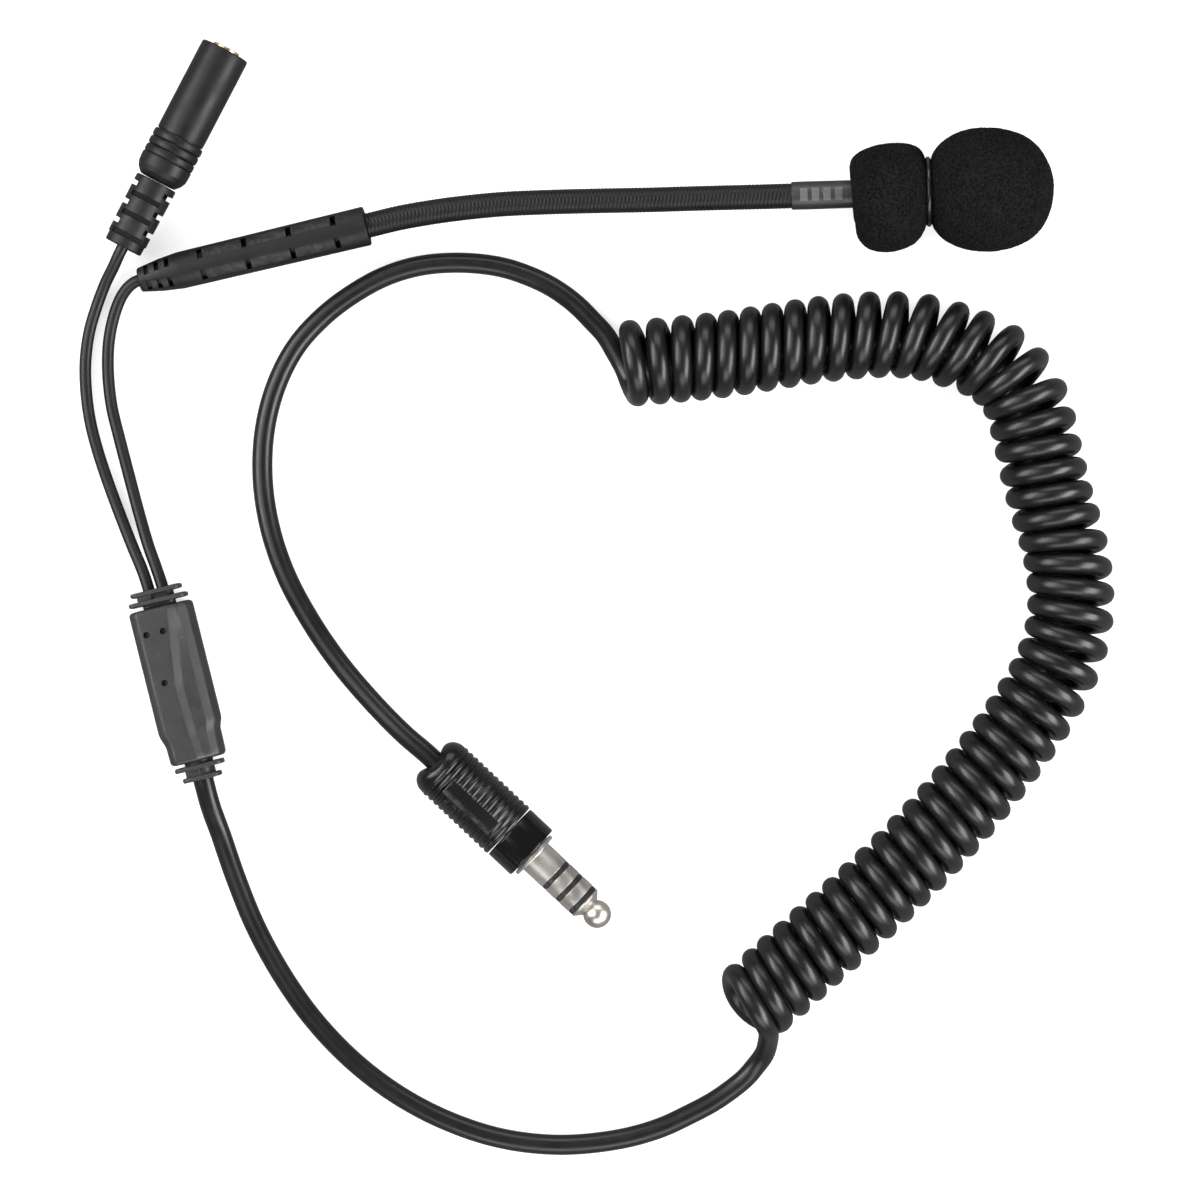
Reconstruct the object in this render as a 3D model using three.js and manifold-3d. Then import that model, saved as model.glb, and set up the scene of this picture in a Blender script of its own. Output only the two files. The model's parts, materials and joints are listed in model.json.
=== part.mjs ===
// Boom microphone and earphone lead for an aircrew or ground-crew headset.
// Millimetres, +Z up. The pieces lie on the plane z = 0, the boom runs along +X
// and the origin is under the middle of the boom microphone.
import * as THREE from 'three';
import { mergeVertices } from 'three/addons/utils/BufferGeometryUtils.js';
import Module from 'manifold-3d';

const wasm = await Module();
wasm.setup();

// ---------------------------------------------------------------- driving dimensions

const GAP = 0.3; // clearance between neighbouring pieces
const SEAM = 0.1; // clearance between the stacked contacts of the plug

const THIN_LEAD_RADIUS = 1.2;
const MAIN_LEAD_RADIUS = 2.05;
const COIL_RADIUS = 8.8; // outside of the turns
const LYING_HEIGHT = 0.05; // how far a lead's underside clears the surface

const HANDLE_START = [-91.4, -14.1];
const HANDLE_END = [-45.7, -3.4];
const HANDLE = {
  length: 47.0,
  tipRadius: 2.4,
  shoulderAt: 8.5,
  shoulderRadius: 3.7,
  endRadius: 3.95,
  bore: 2.8,
  leadBore: 1.5,
  windowAngle: 37, // degrees each side of straight up and straight down
  windowLength: 1.1,
  windowWidth: 2.5,
  mainWindows: [13.3, 22.4, 31.6, 40.8],
  tipWindows: [2.0, 4.2, 6.4],
};

const BOOM_LOW_POINT = -84; // where the handle touches the surface
const BOOM_RISE = 0.0535; // slope of the boom, so that the front of the foam also touches
const BOOM_RADIUS = 2.5;
const BOOM_ROUTE = [
  [-45.7, -3.4], [-39.1, -1.85], [-33, -0.8], [-27, 0], [-19, 0.75], [-9.1, 1.15],
  [0.8, 1.35], [10.8, 1.5], [20.7, 1.75], [30.6, 1.95], [37.5, 2.1],
];
const HINGES = 8;
const FIRST_PIVOT = 5.5; // along the boom from the handle's end
const PIVOT_SPACING = 10.55;
const KNUCKLE = { ball: 2.1, pocket: 2.45, pocketRim: 0.9, neck: 1.3 };

const MIC_END = [90.9, 3.5]; // front of the windscreen
const MIC = {
  sleeveStart: 5.7,
  sleeveEnd: 20.2,
  sleeveRadius: 2.8,
  housingStart: 17.6,
  housingEnd: 53.0,
  housingRadius: 4.7,
  housingWall: 1.0,
  slotAt: 45.0,
};
const FOAM = { rear: 16.8, waist: 32.8, front: 57.8, rearRadius: 11.0, frontRadius: 12.4, bore: 5.0 };
const RING = { inner: 5.8, outer: 6.9, width: 1.2 };

const JUNCTION_START = [-87.95, -76.0];
const JUNCTION_END = [-78.45, -114.1];
const JUNCTION = {
  length: 39.2,
  bodyStart: 4.9,
  waistStart: 28.3,
  bodyEnd: 35.2,
  height: 9.2,
  halfWidth: 6.35,
  waistHalfWidth: 5.5,
  leadSpacing: 2.75,
};

const SOCKET_START = [-94.5, -7.65];
const SOCKET_END = [-74.0, 31.6];
const SOCKET = { length: 44.3, radius: 5.0, ribRadius: 5.3, reliefLength: 14.6, jackBore: 1.8 };

const PLUG_START = [-33.0, -109.5];
const PLUG_END = [-12.8, -128.5];
const PLUG = {
  gripRadius: 6.3,
  gripLength: 21.3,
  ribCount: 13,
  ribPitch: 1.38,
  collarEnd: 27.7,
  collarRadius: 6.1,
  fingerRadius: 3.57, // 7.14 mm telephone plug
  bands: [34.3, 37.9, 41.5],
  bandWidth: 1.0,
};

// ---------------------------------------------------------------- finishes

function finish(colour, roughness, metalness) {
  return () => new THREE.MeshStandardMaterial({ color: colour, roughness, metalness });
}

const RUBBER = finish(0x35373b, 0.62, 0);
const LEAD_JACKET = finish(0x3c3e42, 0.5, 0);
const MOULDING = finish(0x2f3134, 0.7, 0);
const GRIP_PLASTIC = finish(0x141517, 0.32, 0);
const FOAM_BLACK = finish(0x26272a, 0.95, 0);
const NICKEL = finish(0xc9c3b8, 0.28, 1);
const GOLD = finish(0xd8b25c, 0.3, 1);
const BRASS = finish(0xb89a55, 0.4, 1);
const INSULATION = finish(0x241f1c, 0.45, 0);
const BOARD_GREEN = finish(0x2f5d3a, 0.6, 0);

// ---------------------------------------------------------------- solids

// Merges shared corners and drops the flat triangles at a turned shape's poles.
function welded(geometry) {
  const bare = geometry.clone();
  bare.deleteAttribute('normal');
  bare.deleteAttribute('uv');
  const merged = mergeVertices(bare, 1e-4);
  const corners = merged.index.array;
  const kept = [];
  for (let i = 0; i < corners.length; i += 3) {
    const [a, b, c] = [corners[i], corners[i + 1], corners[i + 2]];
    if (a !== b && b !== c && c !== a) kept.push(a, b, c);
  }
  merged.setIndex(kept);
  return merged;
}

function toSolid(geometry) {
  const merged = welded(geometry);
  return new wasm.Manifold(new wasm.Mesh({
    numProp: 3,
    vertProperties: new Float32Array(merged.attributes.position.array),
    triVerts: new Uint32Array(merged.index.array),
  }));
}

function toGeometry(solid) {
  const mesh = solid.getMesh();
  const geometry = new THREE.BufferGeometry();
  geometry.setAttribute('position', new THREE.BufferAttribute(mesh.vertProperties, 3));
  geometry.setIndex(new THREE.BufferAttribute(mesh.triVerts, 1));
  return geometry;
}

function cut(geometry, tools) {
  let solid = toSolid(geometry);
  for (const tool of tools) solid = solid.subtract(toSolid(tool));
  return toGeometry(solid);
}

function intersect(first, second) {
  return toGeometry(toSolid(first).intersect(toSolid(second)));
}

// A solid of revolution about X. The profile's [x, radius] points run forwards along
// the outside, and either start and end on the axis or come back along a bore.
function turned(profile, segments = 24) {
  const points = profile.map(([x, radius]) => new THREE.Vector2(radius, x));
  return new THREE.LatheGeometry(points, segments).rotateZ(-Math.PI / 2);
}

function tubeProfile(start, end, outer, inner) {
  return [[start, inner], [start, outer], [end, outer], [end, inner], [start, inner]];
}

function box(size, centre, turnAboutX = 0) {
  return new THREE.BoxGeometry(...size).translate(...centre).rotateX(turnAboutX);
}

function verticalCylinder(radius, height, centre, segments = 20) {
  const cylinder = new THREE.CylinderGeometry(radius, radius, height, segments);
  return cylinder.rotateX(Math.PI / 2).translate(...centre);
}

// Points of an arc in a profile, from one angle to another, in degrees from +X.
function arc(centreX, radius, from, to, steps) {
  const points = [];
  for (let i = 0; i <= steps; i += 1) {
    const angle = THREE.MathUtils.degToRad(from + ((to - from) * i) / steps);
    points.push([centreX + radius * Math.cos(angle), radius * Math.sin(angle)]);
  }
  return points;
}

function extrudedAlongX(outline, start, end) {
  const shape = new THREE.Shape(outline.map(([y, z]) => new THREE.Vector2(y, z)));
  const geometry = new THREE.ExtrudeGeometry(shape, { depth: end - start, bevelEnabled: false });
  const turn = new THREE.Matrix4().makeBasis(
    new THREE.Vector3(0, 1, 0), new THREE.Vector3(0, 0, 1), new THREE.Vector3(1, 0, 0),
  );
  return geometry.applyMatrix4(turn).translate(start, 0, 0);
}

function extrudedUp(outline, height) {
  const shape = new THREE.Shape(outline.map(([x, y]) => new THREE.Vector2(x, y)));
  const geometry = new THREE.ExtrudeGeometry(shape, { depth: height, bevelEnabled: false });
  return geometry.translate(0, 0, -height / 2);
}

// ---------------------------------------------------------------- placing

const leadSet = new THREE.Group();

function add(parent, name, geometry, makeMaterial) {
  const mesh = new THREE.Mesh(geometry, makeMaterial());
  mesh.name = name;
  parent.add(mesh);
}

// A group whose X axis runs from start towards end, with its Z axis nearest to up.
function assembly(start, end) {
  const along = end.clone().sub(start).normalize();
  const side = new THREE.Vector3(0, 0, 1).cross(along).normalize();
  const up = along.clone().cross(side);
  const group = new THREE.Group();
  group.quaternion.setFromRotationMatrix(new THREE.Matrix4().makeBasis(along, side, up));
  group.position.copy(start);
  leadSet.add(group);
  return group;
}

function boomPoint([x, y]) {
  return new THREE.Vector3(x, y, HANDLE.shoulderRadius + 0.06 + (x - BOOM_LOW_POINT) * BOOM_RISE);
}

function atHeight([x, y], z) {
  return new THREE.Vector3(x, y, z);
}

// ---------------------------------------------------------------- boom microphone

function handleWindows() {
  const windows = [];
  const quarterAngles = [1, -1].flatMap((side) => [0, 180].map((up) => up + side * HANDLE.windowAngle));
  for (const x of [...HANDLE.mainWindows, ...HANDLE.tipWindows]) {
    for (const angle of quarterAngles) {
      const size = [HANDLE.windowLength, HANDLE.windowWidth, 3];
      windows.push(box(size, [x, 0, HANDLE.leadBore + 1.9], THREE.MathUtils.degToRad(angle)));
    }
  }
  return windows;
}

function addHandle() {
  const handle = assembly(boomPoint(HANDLE_START), boomPoint(HANDLE_END));
  const profile = [
    [0, HANDLE.leadBore],
    [0, HANDLE.tipRadius],
    [4.5, 3.25],
    [HANDLE.shoulderAt, HANDLE.shoulderRadius],
    [HANDLE.length, HANDLE.endRadius],
    [HANDLE.length, HANDLE.bore],
    [12, HANDLE.bore],
    [10, HANDLE.leadBore],
    [0, HANDLE.leadBore],
  ];
  add(handle, 'boom_handle', cut(turned(profile, 24), handleWindows()), MOULDING);
  const crimp = tubeProfile(13, 20, 2.4, THIN_LEAD_RADIUS + 0.2);
  add(handle, 'handle_lead_crimp', turned(crimp, 16), BRASS);
}

// The hollow that a neighbour's ball turns in, as the first points of a profile.
function pocketPoints() {
  const rimAngle = THREE.MathUtils.radToDeg(Math.acos(KNUCKLE.pocketRim / KNUCKLE.pocket));
  const hollow = arc(0, KNUCKLE.pocket, 0, rimAngle, 3);
  hollow[0][1] = 0;
  return [...hollow, [KNUCKLE.pocketRim, BOOM_RADIUS]];
}

function ballPoints(pivotX) {
  const neckAngle = THREE.MathUtils.radToDeg(Math.acos(-KNUCKLE.neck / KNUCKLE.ball));
  const ball = arc(pivotX, KNUCKLE.ball, neckAngle, 0, 5);
  ball[ball.length - 1][1] = 0;
  return [[pivotX - KNUCKLE.neck, BOOM_RADIUS], ...ball];
}

// Pivot points at equal steps along the boom's centre line, counted from the handle.
function boomPivots() {
  const curve = new THREE.CatmullRomCurve3(BOOM_ROUTE.map(boomPoint), false, 'centripetal');
  curve.arcLengthDivisions = 400;
  const length = curve.getLength();
  const pivots = [];
  for (let i = 0; i < HINGES; i += 1) {
    pivots.push(curve.getPointAt((FIRST_PIVOT + i * PIVOT_SPACING) / length));
  }
  return pivots;
}

const pivots = boomPivots();

function addGooseneck() {
  const handleEnd = boomPoint(HANDLE_END);
  const stub = assembly(handleEnd, pivots[0]);
  const stubEnd = handleEnd.distanceTo(pivots[0]);
  const stubStart = -22;
  add(stub, 'boom_root_ferrule', turned([
    [stubStart, 0], [stubStart, BOOM_RADIUS], ...ballPoints(stubEnd),
  ], 16), MOULDING);
  for (let i = 1; i < HINGES; i += 1) {
    const link = assembly(pivots[i - 1], pivots[i]);
    const length = pivots[i - 1].distanceTo(pivots[i]);
    add(link, `boom_link_${i}`, turned([...pocketPoints(), ...ballPoints(length)], 12), MOULDING);
  }
}

// One half of the capsule casing: the part of a turned shell above or below its middle.
function halfShell(shell, side) {
  const reach = MIC.housingRadius + 1;
  const length = MIC.housingEnd - MIC.housingStart + 2;
  const middle = (MIC.housingEnd + MIC.housingStart) / 2;
  const half = box([length, 2 * reach, reach], [middle, 0, side * (reach + SEAM) / 2 + side * SEAM / 4]);
  return intersect(shell, half);
}

function housingShell() {
  const inner = MIC.housingRadius - MIC.housingWall;
  const stemBore = 2.5;
  return turned([
    [MIC.sleeveEnd + GAP, stemBore],
    [MIC.sleeveEnd + GAP, 3.2],
    [MIC.sleeveEnd + 2.2, MIC.housingRadius],
    [MIC.housingEnd - 1.2, MIC.housingRadius],
    [MIC.housingEnd, MIC.housingRadius - 1.2],
    [MIC.housingEnd, 0.6],
    [MIC.housingEnd - 1, 0.6],
    [MIC.housingEnd - 1, inner - 0.6],
    [MIC.housingEnd - 1.8, inner],
    [MIC.sleeveEnd + 3.4, inner],
    [MIC.sleeveEnd + 2.4, stemBore],
    [MIC.sleeveEnd + GAP, stemBore],
  ], 24);
}

function soundSlots() {
  const slots = [];
  for (const offset of [-2.4, 0, 2.4]) {
    slots.push(box([1.1, 5, 4], [MIC.slotAt + offset, 0, MIC.housingRadius]));
  }
  return slots;
}

function addMicrophone() {
  const mic = assembly(pivots[HINGES - 1], boomPoint(MIC_END));
  const stemEnd = MIC.sleeveEnd + 4.5;
  add(mic, 'mic_stem', turned([
    ...pocketPoints(),
    [MIC.sleeveStart - GAP, BOOM_RADIUS],
    [MIC.sleeveStart - GAP, 2.2],
    [stemEnd, 2.2],
    [stemEnd, 0],
  ], 20), MOULDING);
  const sleeve = tubeProfile(MIC.sleeveStart, MIC.sleeveEnd, MIC.sleeveRadius, 2.45);
  add(mic, 'mic_marking_sleeve', turned(sleeve, 24), RUBBER);
  const shell = housingShell();
  add(mic, 'mic_housing_back', halfShell(shell, -1), MOULDING);
  add(mic, 'mic_housing_front', cut(halfShell(shell, 1), soundSlots()), MOULDING);
  add(mic, 'mic_element', verticalCylinder(3, 2.6, [MIC.slotAt, 0, 0.9]), NICKEL);
  add(mic, 'mic_amplifier_board', box([12, 5.2, 0.8], [MIC.slotAt - 11, 0, 0]), BOARD_GREEN);
}

// Outline of a foam lobe, from its rear to its front, rounder than a cylinder and
// fuller than a ball.
function lobe(start, end, radius, startRadius, endRadius, steps) {
  const fullness = 2.5;
  const points = [];
  for (let i = 0; i <= steps; i += 1) {
    const angle = (Math.PI * i) / steps;
    const along = -Math.sign(Math.cos(angle)) * Math.abs(Math.cos(angle)) ** (2 / fullness);
    const out = Math.sin(angle) ** (2 / fullness);
    const floor = i < steps / 2 ? startRadius : endRadius;
    points.push([start + ((end - start) * (along + 1)) / 2, floor + (radius - floor) * out]);
  }
  return points;
}

function addWindscreen() {
  const screen = assembly(pivots[HINGES - 1], boomPoint(MIC_END));
  const waistRadius = RING.inner - 0.2;
  const boreEnd = MIC.housingEnd + 0.6;
  const rearLobe = lobe(FOAM.rear, FOAM.waist - RING.width / 2, FOAM.rearRadius, 6.5, waistRadius, 10);
  const frontLobe = lobe(FOAM.waist + RING.width / 2, FOAM.front, FOAM.frontRadius, waistRadius, 0, 12);
  frontLobe[frontLobe.length - 1][1] = 0;
  add(screen, 'foam_windscreen', turned([
    [boreEnd, 0], [boreEnd, FOAM.bore], [FOAM.rear, FOAM.bore], ...rearLobe, ...frontLobe,
  ], 24), FOAM_BLACK);
  const half = RING.width / 2 - 0.1;
  add(screen, 'windscreen_ring', turned([
    [FOAM.waist - half, RING.inner],
    [FOAM.waist - half, RING.outer - 0.3],
    [FOAM.waist - 0.2, RING.outer],
    [FOAM.waist + 0.2, RING.outer],
    [FOAM.waist + half, RING.outer - 0.3],
    [FOAM.waist + half, RING.inner],
    [FOAM.waist - half, RING.inner],
  ], 20), RUBBER);
}

// ---------------------------------------------------------------- cord junction

// Looking down, both sides draw in below the widest part of the body.
function junctionPlan() {
  const { bodyStart, waistStart, bodyEnd, halfWidth, waistHalfWidth } = JUNCTION;
  return [
    [bodyStart, -halfWidth + 0.7],
    [bodyStart + 0.7, -halfWidth],
    [waistStart, -halfWidth],
    [waistStart + 1.6, -halfWidth + 0.35],
    [waistStart + 3.2, -waistHalfWidth],
    [bodyEnd, -waistHalfWidth + 0.2],
    [bodyEnd, waistHalfWidth],
    [waistStart + 1.2, halfWidth - 0.5],
    [waistStart, halfWidth],
    [bodyStart + 0.7, halfWidth],
    [bodyStart, halfWidth - 0.7],
  ];
}

// Across the body: a flat top on the left, a shallow valley, then a lower rounded shoulder.
function junctionSection() {
  const top = JUNCTION.height / 2;
  const side = JUNCTION.halfWidth + 0.2;
  return [
    [-side + 2.6, -top], [side - 2.6, -top], [side - 0.8, -top + 0.9], [side, -top + 2.7],
    [side, 0.4], [side - 1, 2.3], [side - 2.9, 3.6], [1.9, 3.75], [0.9, 3.9],
    [-0.4, top], [-side + 2.6, top], [-side + 0.8, top - 0.9], [-side, top - 2.7],
    [-side, -top + 2.7], [-side + 0.8, -top + 0.9],
  ];
}

function axialCylinder(radius, start, end, y = 0, z = 0, segments = 16) {
  const profile = [[start, 0], [start, radius], [end, radius], [end, 0]];
  return turned(profile, segments).translate(0, y, z);
}

function junctionLeadBores(start, end) {
  const radius = THIN_LEAD_RADIUS + GAP;
  return [-1, 1].map((side) => axialCylinder(radius, start, end, side * JUNCTION.leadSpacing / 2));
}

function addJunctionBody(junction) {
  const block = intersect(
    extrudedUp(junctionPlan(), JUNCTION.height + 2),
    extrudedAlongX(junctionSection(), 0, JUNCTION.length),
  );
  const mouldPinHoles = [[8.5, -3.6], [8.5, -0.2], [18.6, -2.4]].map(([x, y]) => (
    verticalCylinder(0.65, 2, [x, y, JUNCTION.height / 2 + 0.1], 12)
  ));
  add(junction, 'junction_body', cut(block, [
    box([22, 8.4, 5.4], [19, 0, -0.2]),
    ...junctionLeadBores(0, 10),
    axialCylinder(MAIN_LEAD_RADIUS + GAP, 28, 40),
    ...mouldPinHoles,
  ]), MOULDING);
}

function fin(x, halfWidth, halfHeight) {
  const corner = 1.2;
  return extrudedAlongX([
    [-halfWidth + corner, -halfHeight], [halfWidth - corner, -halfHeight],
    [halfWidth, -halfHeight + corner], [halfWidth, halfHeight - corner],
    [halfWidth - corner, halfHeight], [-halfWidth + corner, halfHeight],
    [-halfWidth, halfHeight - corner], [-halfWidth, -halfHeight + corner],
  ], x, x + 1.1);
}

// Two fins on a core, joined by webs that leave the relief free to bend.
function strainRelief(core, fins, webs, bores) {
  let solid = toSolid(core);
  for (const piece of [...fins, ...webs]) solid = solid.add(toSolid(piece));
  for (const bore of bores) solid = solid.subtract(toSolid(bore));
  return toGeometry(solid);
}

function addJunctionReliefs(junction) {
  const { bodyStart, bodyEnd, length } = JUNCTION;
  add(junction, 'junction_top_relief', strainRelief(
    box([bodyStart - GAP, 6.6, 4.6], [(bodyStart - GAP) / 2, 0, 0]),
    [fin(0, 5.05, 3.5), fin(2.2, 5.85, 3.9)],
    [box([2, 3, 6.2], [1.4, -2.4, 0])],
    junctionLeadBores(-1, 6),
  ), MOULDING);
  add(junction, 'junction_bottom_relief', strainRelief(
    axialCylinder(2.9, bodyEnd + GAP, length),
    [fin(bodyEnd + 0.8, 4.9, 3.7), fin(length - 1.1, 3.85, 3.4)],
    [box([2, 3, 6.2], [length - 2, -1.4, 0])],
    [axialCylinder(MAIN_LEAD_RADIUS + GAP, bodyEnd - 1, length + 1)],
  ), MOULDING);
}

function addJunction() {
  const height = JUNCTION.height / 2 + LYING_HEIGHT;
  const junction = assembly(atHeight(JUNCTION_START, height), atHeight(JUNCTION_END, height));
  addJunctionBody(junction);
  addJunctionReliefs(junction);
  add(junction, 'splice_board', box([9, 6.4, 0.8], [19.5, 0, -1.8]), BOARD_GREEN);
  for (const [i, y] of [-2.1, 0, 2.1].entries()) {
    add(junction, `splice_crimp_${i + 1}`, turned(tubeProfile(15.5, 23.5, 0.8, 0.45), 12)
      .translate(0, y, -0.3), BRASS);
  }
}

// ---------------------------------------------------------------- earphone socket

function socketBarrelProfile() {
  const { radius, ribRadius, length, reliefLength } = SOCKET;
  const domeEnd = 19.2;
  const profile = [[reliefLength + GAP, THIN_LEAD_RADIUS + GAP], [reliefLength + GAP, 3.75]];
  profile.push([15.9, 4.7], [17.0, ribRadius - 0.1], [18.2, ribRadius], [domeEnd, ribRadius]);
  for (let i = 0; i < 3; i += 1) {
    const ribStart = domeEnd + 0.7 + i * 1.75;
    profile.push([ribStart - 0.7 + 0.05, radius - 0.2], [ribStart, radius - 0.2]);
    profile.push([ribStart + 0.1, ribRadius], [ribStart + 0.9, ribRadius]);
  }
  profile.push([domeEnd + 5.2, radius], [length - 0.6, radius], [length, radius - 0.6], [length, 3.1]);
  profile.push([length - 1.8, 3.1], [length - 1.8, 3.7], [20, 3.7], [20, THIN_LEAD_RADIUS + GAP]);
  profile.push([reliefLength + GAP, THIN_LEAD_RADIUS + GAP]);
  return profile;
}

// Windows cut in from above and below, then from both sides, turn about along the sleeve.
function reliefWindows() {
  const windows = [];
  const pitch = 2.05;
  const width = 1.1;
  for (let i = 0; i < 6; i += 1) {
    const x = 2.4 + i * pitch;
    for (const side of [-1, 1]) {
      const acrossTop = i % 2 === 0;
      const size = acrossTop ? [width, 6.2, 3] : [width, 3, 6.2];
      const centre = acrossTop ? [x, 0, side * 3.8] : [x, side * 3.8, 0];
      windows.push(box(size, centre));
    }
  }
  return windows;
}

function addSocket() {
  const { ribRadius, reliefLength, length, jackBore } = SOCKET;
  const height = ribRadius + LYING_HEIGHT;
  const socket = assembly(atHeight(SOCKET_START, height), atHeight(SOCKET_END, height));
  add(socket, 'socket_barrel', turned(socketBarrelProfile(), 20), RUBBER);
  const relief = turned([
    [0, THIN_LEAD_RADIUS + GAP], [0, 3.9], [1.8, 3.9], [1.8, 4.15], [reliefLength, 4.3],
    [reliefLength, THIN_LEAD_RADIUS + GAP], [0, THIN_LEAD_RADIUS + GAP],
  ], 24);
  add(socket, 'socket_strain_relief', cut(relief, reliefWindows()), RUBBER);
  add(socket, 'socket_nose', turned([
    [length - 4.3, jackBore], [length - 4.3, 3.4], [length - 2.1, 3.4], [length - 2.1, 2.8],
    [length + 0.5, 2.8], [length + 0.6, 2.6], [length + 0.6, jackBore], [length - 4.3, jackBore],
  ], 24), GOLD);
  const insulator = turned(tubeProfile(21, length - 4.6, 3.4, jackBore), 20);
  const slots = [-1, 1].map((side) => box([14, 1.8, 1.4], [31, 0, side * 2.2]));
  add(socket, 'socket_insulator', cut(insulator, slots), INSULATION);
  add(socket, 'socket_tip_contact', box([11, 1.2, 0.4], [31, 0, 2.4]), GOLD);
  add(socket, 'socket_ring_contact', box([11, 1.2, 0.4], [31, 0, -2.4]), GOLD);
}

// ---------------------------------------------------------------- telephone plug

function gripProfile() {
  const { gripRadius, gripLength, ribCount, ribPitch } = PLUG;
  const groove = gripRadius - 0.75;
  const shoulder = 3.3;
  const rounded = arc(shoulder, shoulder, 180, 90, 4).map(([x, r]) => [x, r + gripRadius - shoulder - 0.3]);
  const profile = [[0, MAIN_LEAD_RADIUS + GAP], ...rounded];
  for (let i = 0; i < ribCount; i += 1) {
    const x = shoulder + 0.35 + i * ribPitch;
    profile.push([x, groove], [x + ribPitch / 2, gripRadius]);
  }
  profile.push([gripLength, groove], [gripLength, 4.7], [7, 4.7], [6, MAIN_LEAD_RADIUS + GAP]);
  profile.push([0, MAIN_LEAD_RADIUS + GAP]);
  return profile;
}

function contactRing(start, end, radius) {
  return tubeProfile(start + SEAM / 2, end - SEAM / 2, radius, 1.7);
}

function addPlugFinger(plug) {
  const { collarEnd, fingerRadius, bands, bandWidth } = PLUG;
  const half = bandWidth / 2;
  add(plug, 'plug_sleeve_contact', turned([
    [collarEnd - 6, 1.7], [collarEnd - 6, 4.2], [collarEnd + GAP, 4.2], [collarEnd + GAP, 5.05],
    [collarEnd + 1, 5.05], [collarEnd + 1, fingerRadius], [bands[0] - half, fingerRadius],
    [bands[0] - half, 1.7], [collarEnd - 6, 1.7],
  ], 20), NICKEL);
  for (const [i, x] of bands.entries()) {
    const band = contactRing(x - half, x + half, fingerRadius - 0.03);
    add(plug, `plug_insulator_${i + 1}`, turned(band, 20), INSULATION);
  }
  for (let i = 0; i < 2; i += 1) {
    const ring = contactRing(bands[i] + half, bands[i + 1] - half, fingerRadius);
    add(plug, `plug_ring_contact_${i + 1}`, turned(ring, 20), NICKEL);
  }
  const tipStart = bands[2] + half + SEAM / 2;
  const ballCentre = collarEnd + 17.9;
  add(plug, 'plug_tip_contact', turned([
    [collarEnd - 8, 0], [collarEnd - 8, 1.4], [tipStart, 1.4], [tipStart, fingerRadius],
    [tipStart + 0.3, fingerRadius], [tipStart + 1.7, 1.9], [ballCentre - 2, 1.9],
    ...arc(ballCentre, 2.8, 132, 0, 8).slice(0, -1), [ballCentre + 2.8, 0],
  ], 20), NICKEL);
}

function addPlug() {
  const height = PLUG.gripRadius + LYING_HEIGHT;
  const plug = assembly(atHeight(PLUG_START, height), atHeight(PLUG_END, height));
  const saddle = verticalCylinder(3.0, 14, [-0.4, 0, 0], 24);
  const panel = box([13, 4.6, 2], [12.3, 0.2, PLUG.gripRadius + 0.55]);
  add(plug, 'plug_grip', cut(turned(gripProfile(), 28), [saddle, panel]), GRIP_PLASTIC);
  add(plug, 'plug_collar', turned([
    [PLUG.gripLength + GAP, 4.6], [PLUG.gripLength + GAP, PLUG.collarRadius],
    [PLUG.collarEnd - 0.2, PLUG.collarRadius], [PLUG.collarEnd, PLUG.collarRadius - 0.2],
    [PLUG.collarEnd, 4.6], [PLUG.gripLength + GAP, 4.6],
  ], 24), GRIP_PLASTIC);
  add(plug, 'plug_cable_clamp', turned(tubeProfile(8, 12, 3.6, MAIN_LEAD_RADIUS + GAP), 16), BRASS);
  add(plug, 'plug_terminal_block', cut(turned(tubeProfile(13, 18.5, 4.2, 1.7), 20), [
    box([3, 10, 1.6], [13.5, 0, 0]),
  ]), INSULATION);
  addPlugFinger(plug);
}

// ---------------------------------------------------------------- leads and coil

// Route points as [x, y, height of the centre line].
const PHONE_LEAD_ROUTE = [
  [-95.2, -8.9, 5.2], [-96.4, -11.3, 4.2], [-98.2, -14.5, 2.6], [-100, -18.8, 1.5], [-101.6, -24.1, 1.25],
  [-102.4, -30, 1.25], [-102.3, -36, 1.25], [-101.5, -42.1, 1.25], [-99.9, -48.4, 1.25],
  [-97.7, -55, 1.3], [-95.2, -61.6, 1.8], [-92.6, -67.9, 3], [-90.7, -72.2, 4.1], [-89.4, -76, 4.6],
];
const MIC_LEAD_ROUTE = [
  [-92.0, -14.3, 3.35], [-93.5, -15.3, 2.9], [-95.1, -17.3, 2.2], [-96.6, -20.9, 1.5], [-97.7, -26.1, 1.25],
  [-97.9, -32, 1.25], [-97.2, -39, 1.25], [-95.4, -46.5, 1.25], [-93.5, -53.8, 1.3],
  [-91.6, -60.8, 1.8], [-89.6, -67.3, 3], [-87.9, -71.8, 4.1], [-86.7, -75.3, 4.6],
];
const LOWER_LEAD_ROUTE = [
  [-78.35, -114.5, 4.6], [-77.1, -119.4, 3.8], [-75.2, -125, 2.5], [-72.2, -133.8, 2.1],
  [-68.3, -143.4, 2.1], [-63.2, -152.8, 2.1], [-57, -161.7, 2.1], [-49.2, -170, 2.1],
  [-40, -177.1, 2.1], [-30, -182.4, 2.1], [-19, -186, 2.1], [-7.2, -187.3, 2.1],
  [4.5, -186.2, 2.1], [15.6, -182.8, 2.1], [24.1, -178.2, 2.4], [30.2, -173, 3.4],
  [33.4, -169.4, 5.2], [34.6, -166.6, 7.4], [34.9, -164.9, 9],
];
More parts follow.
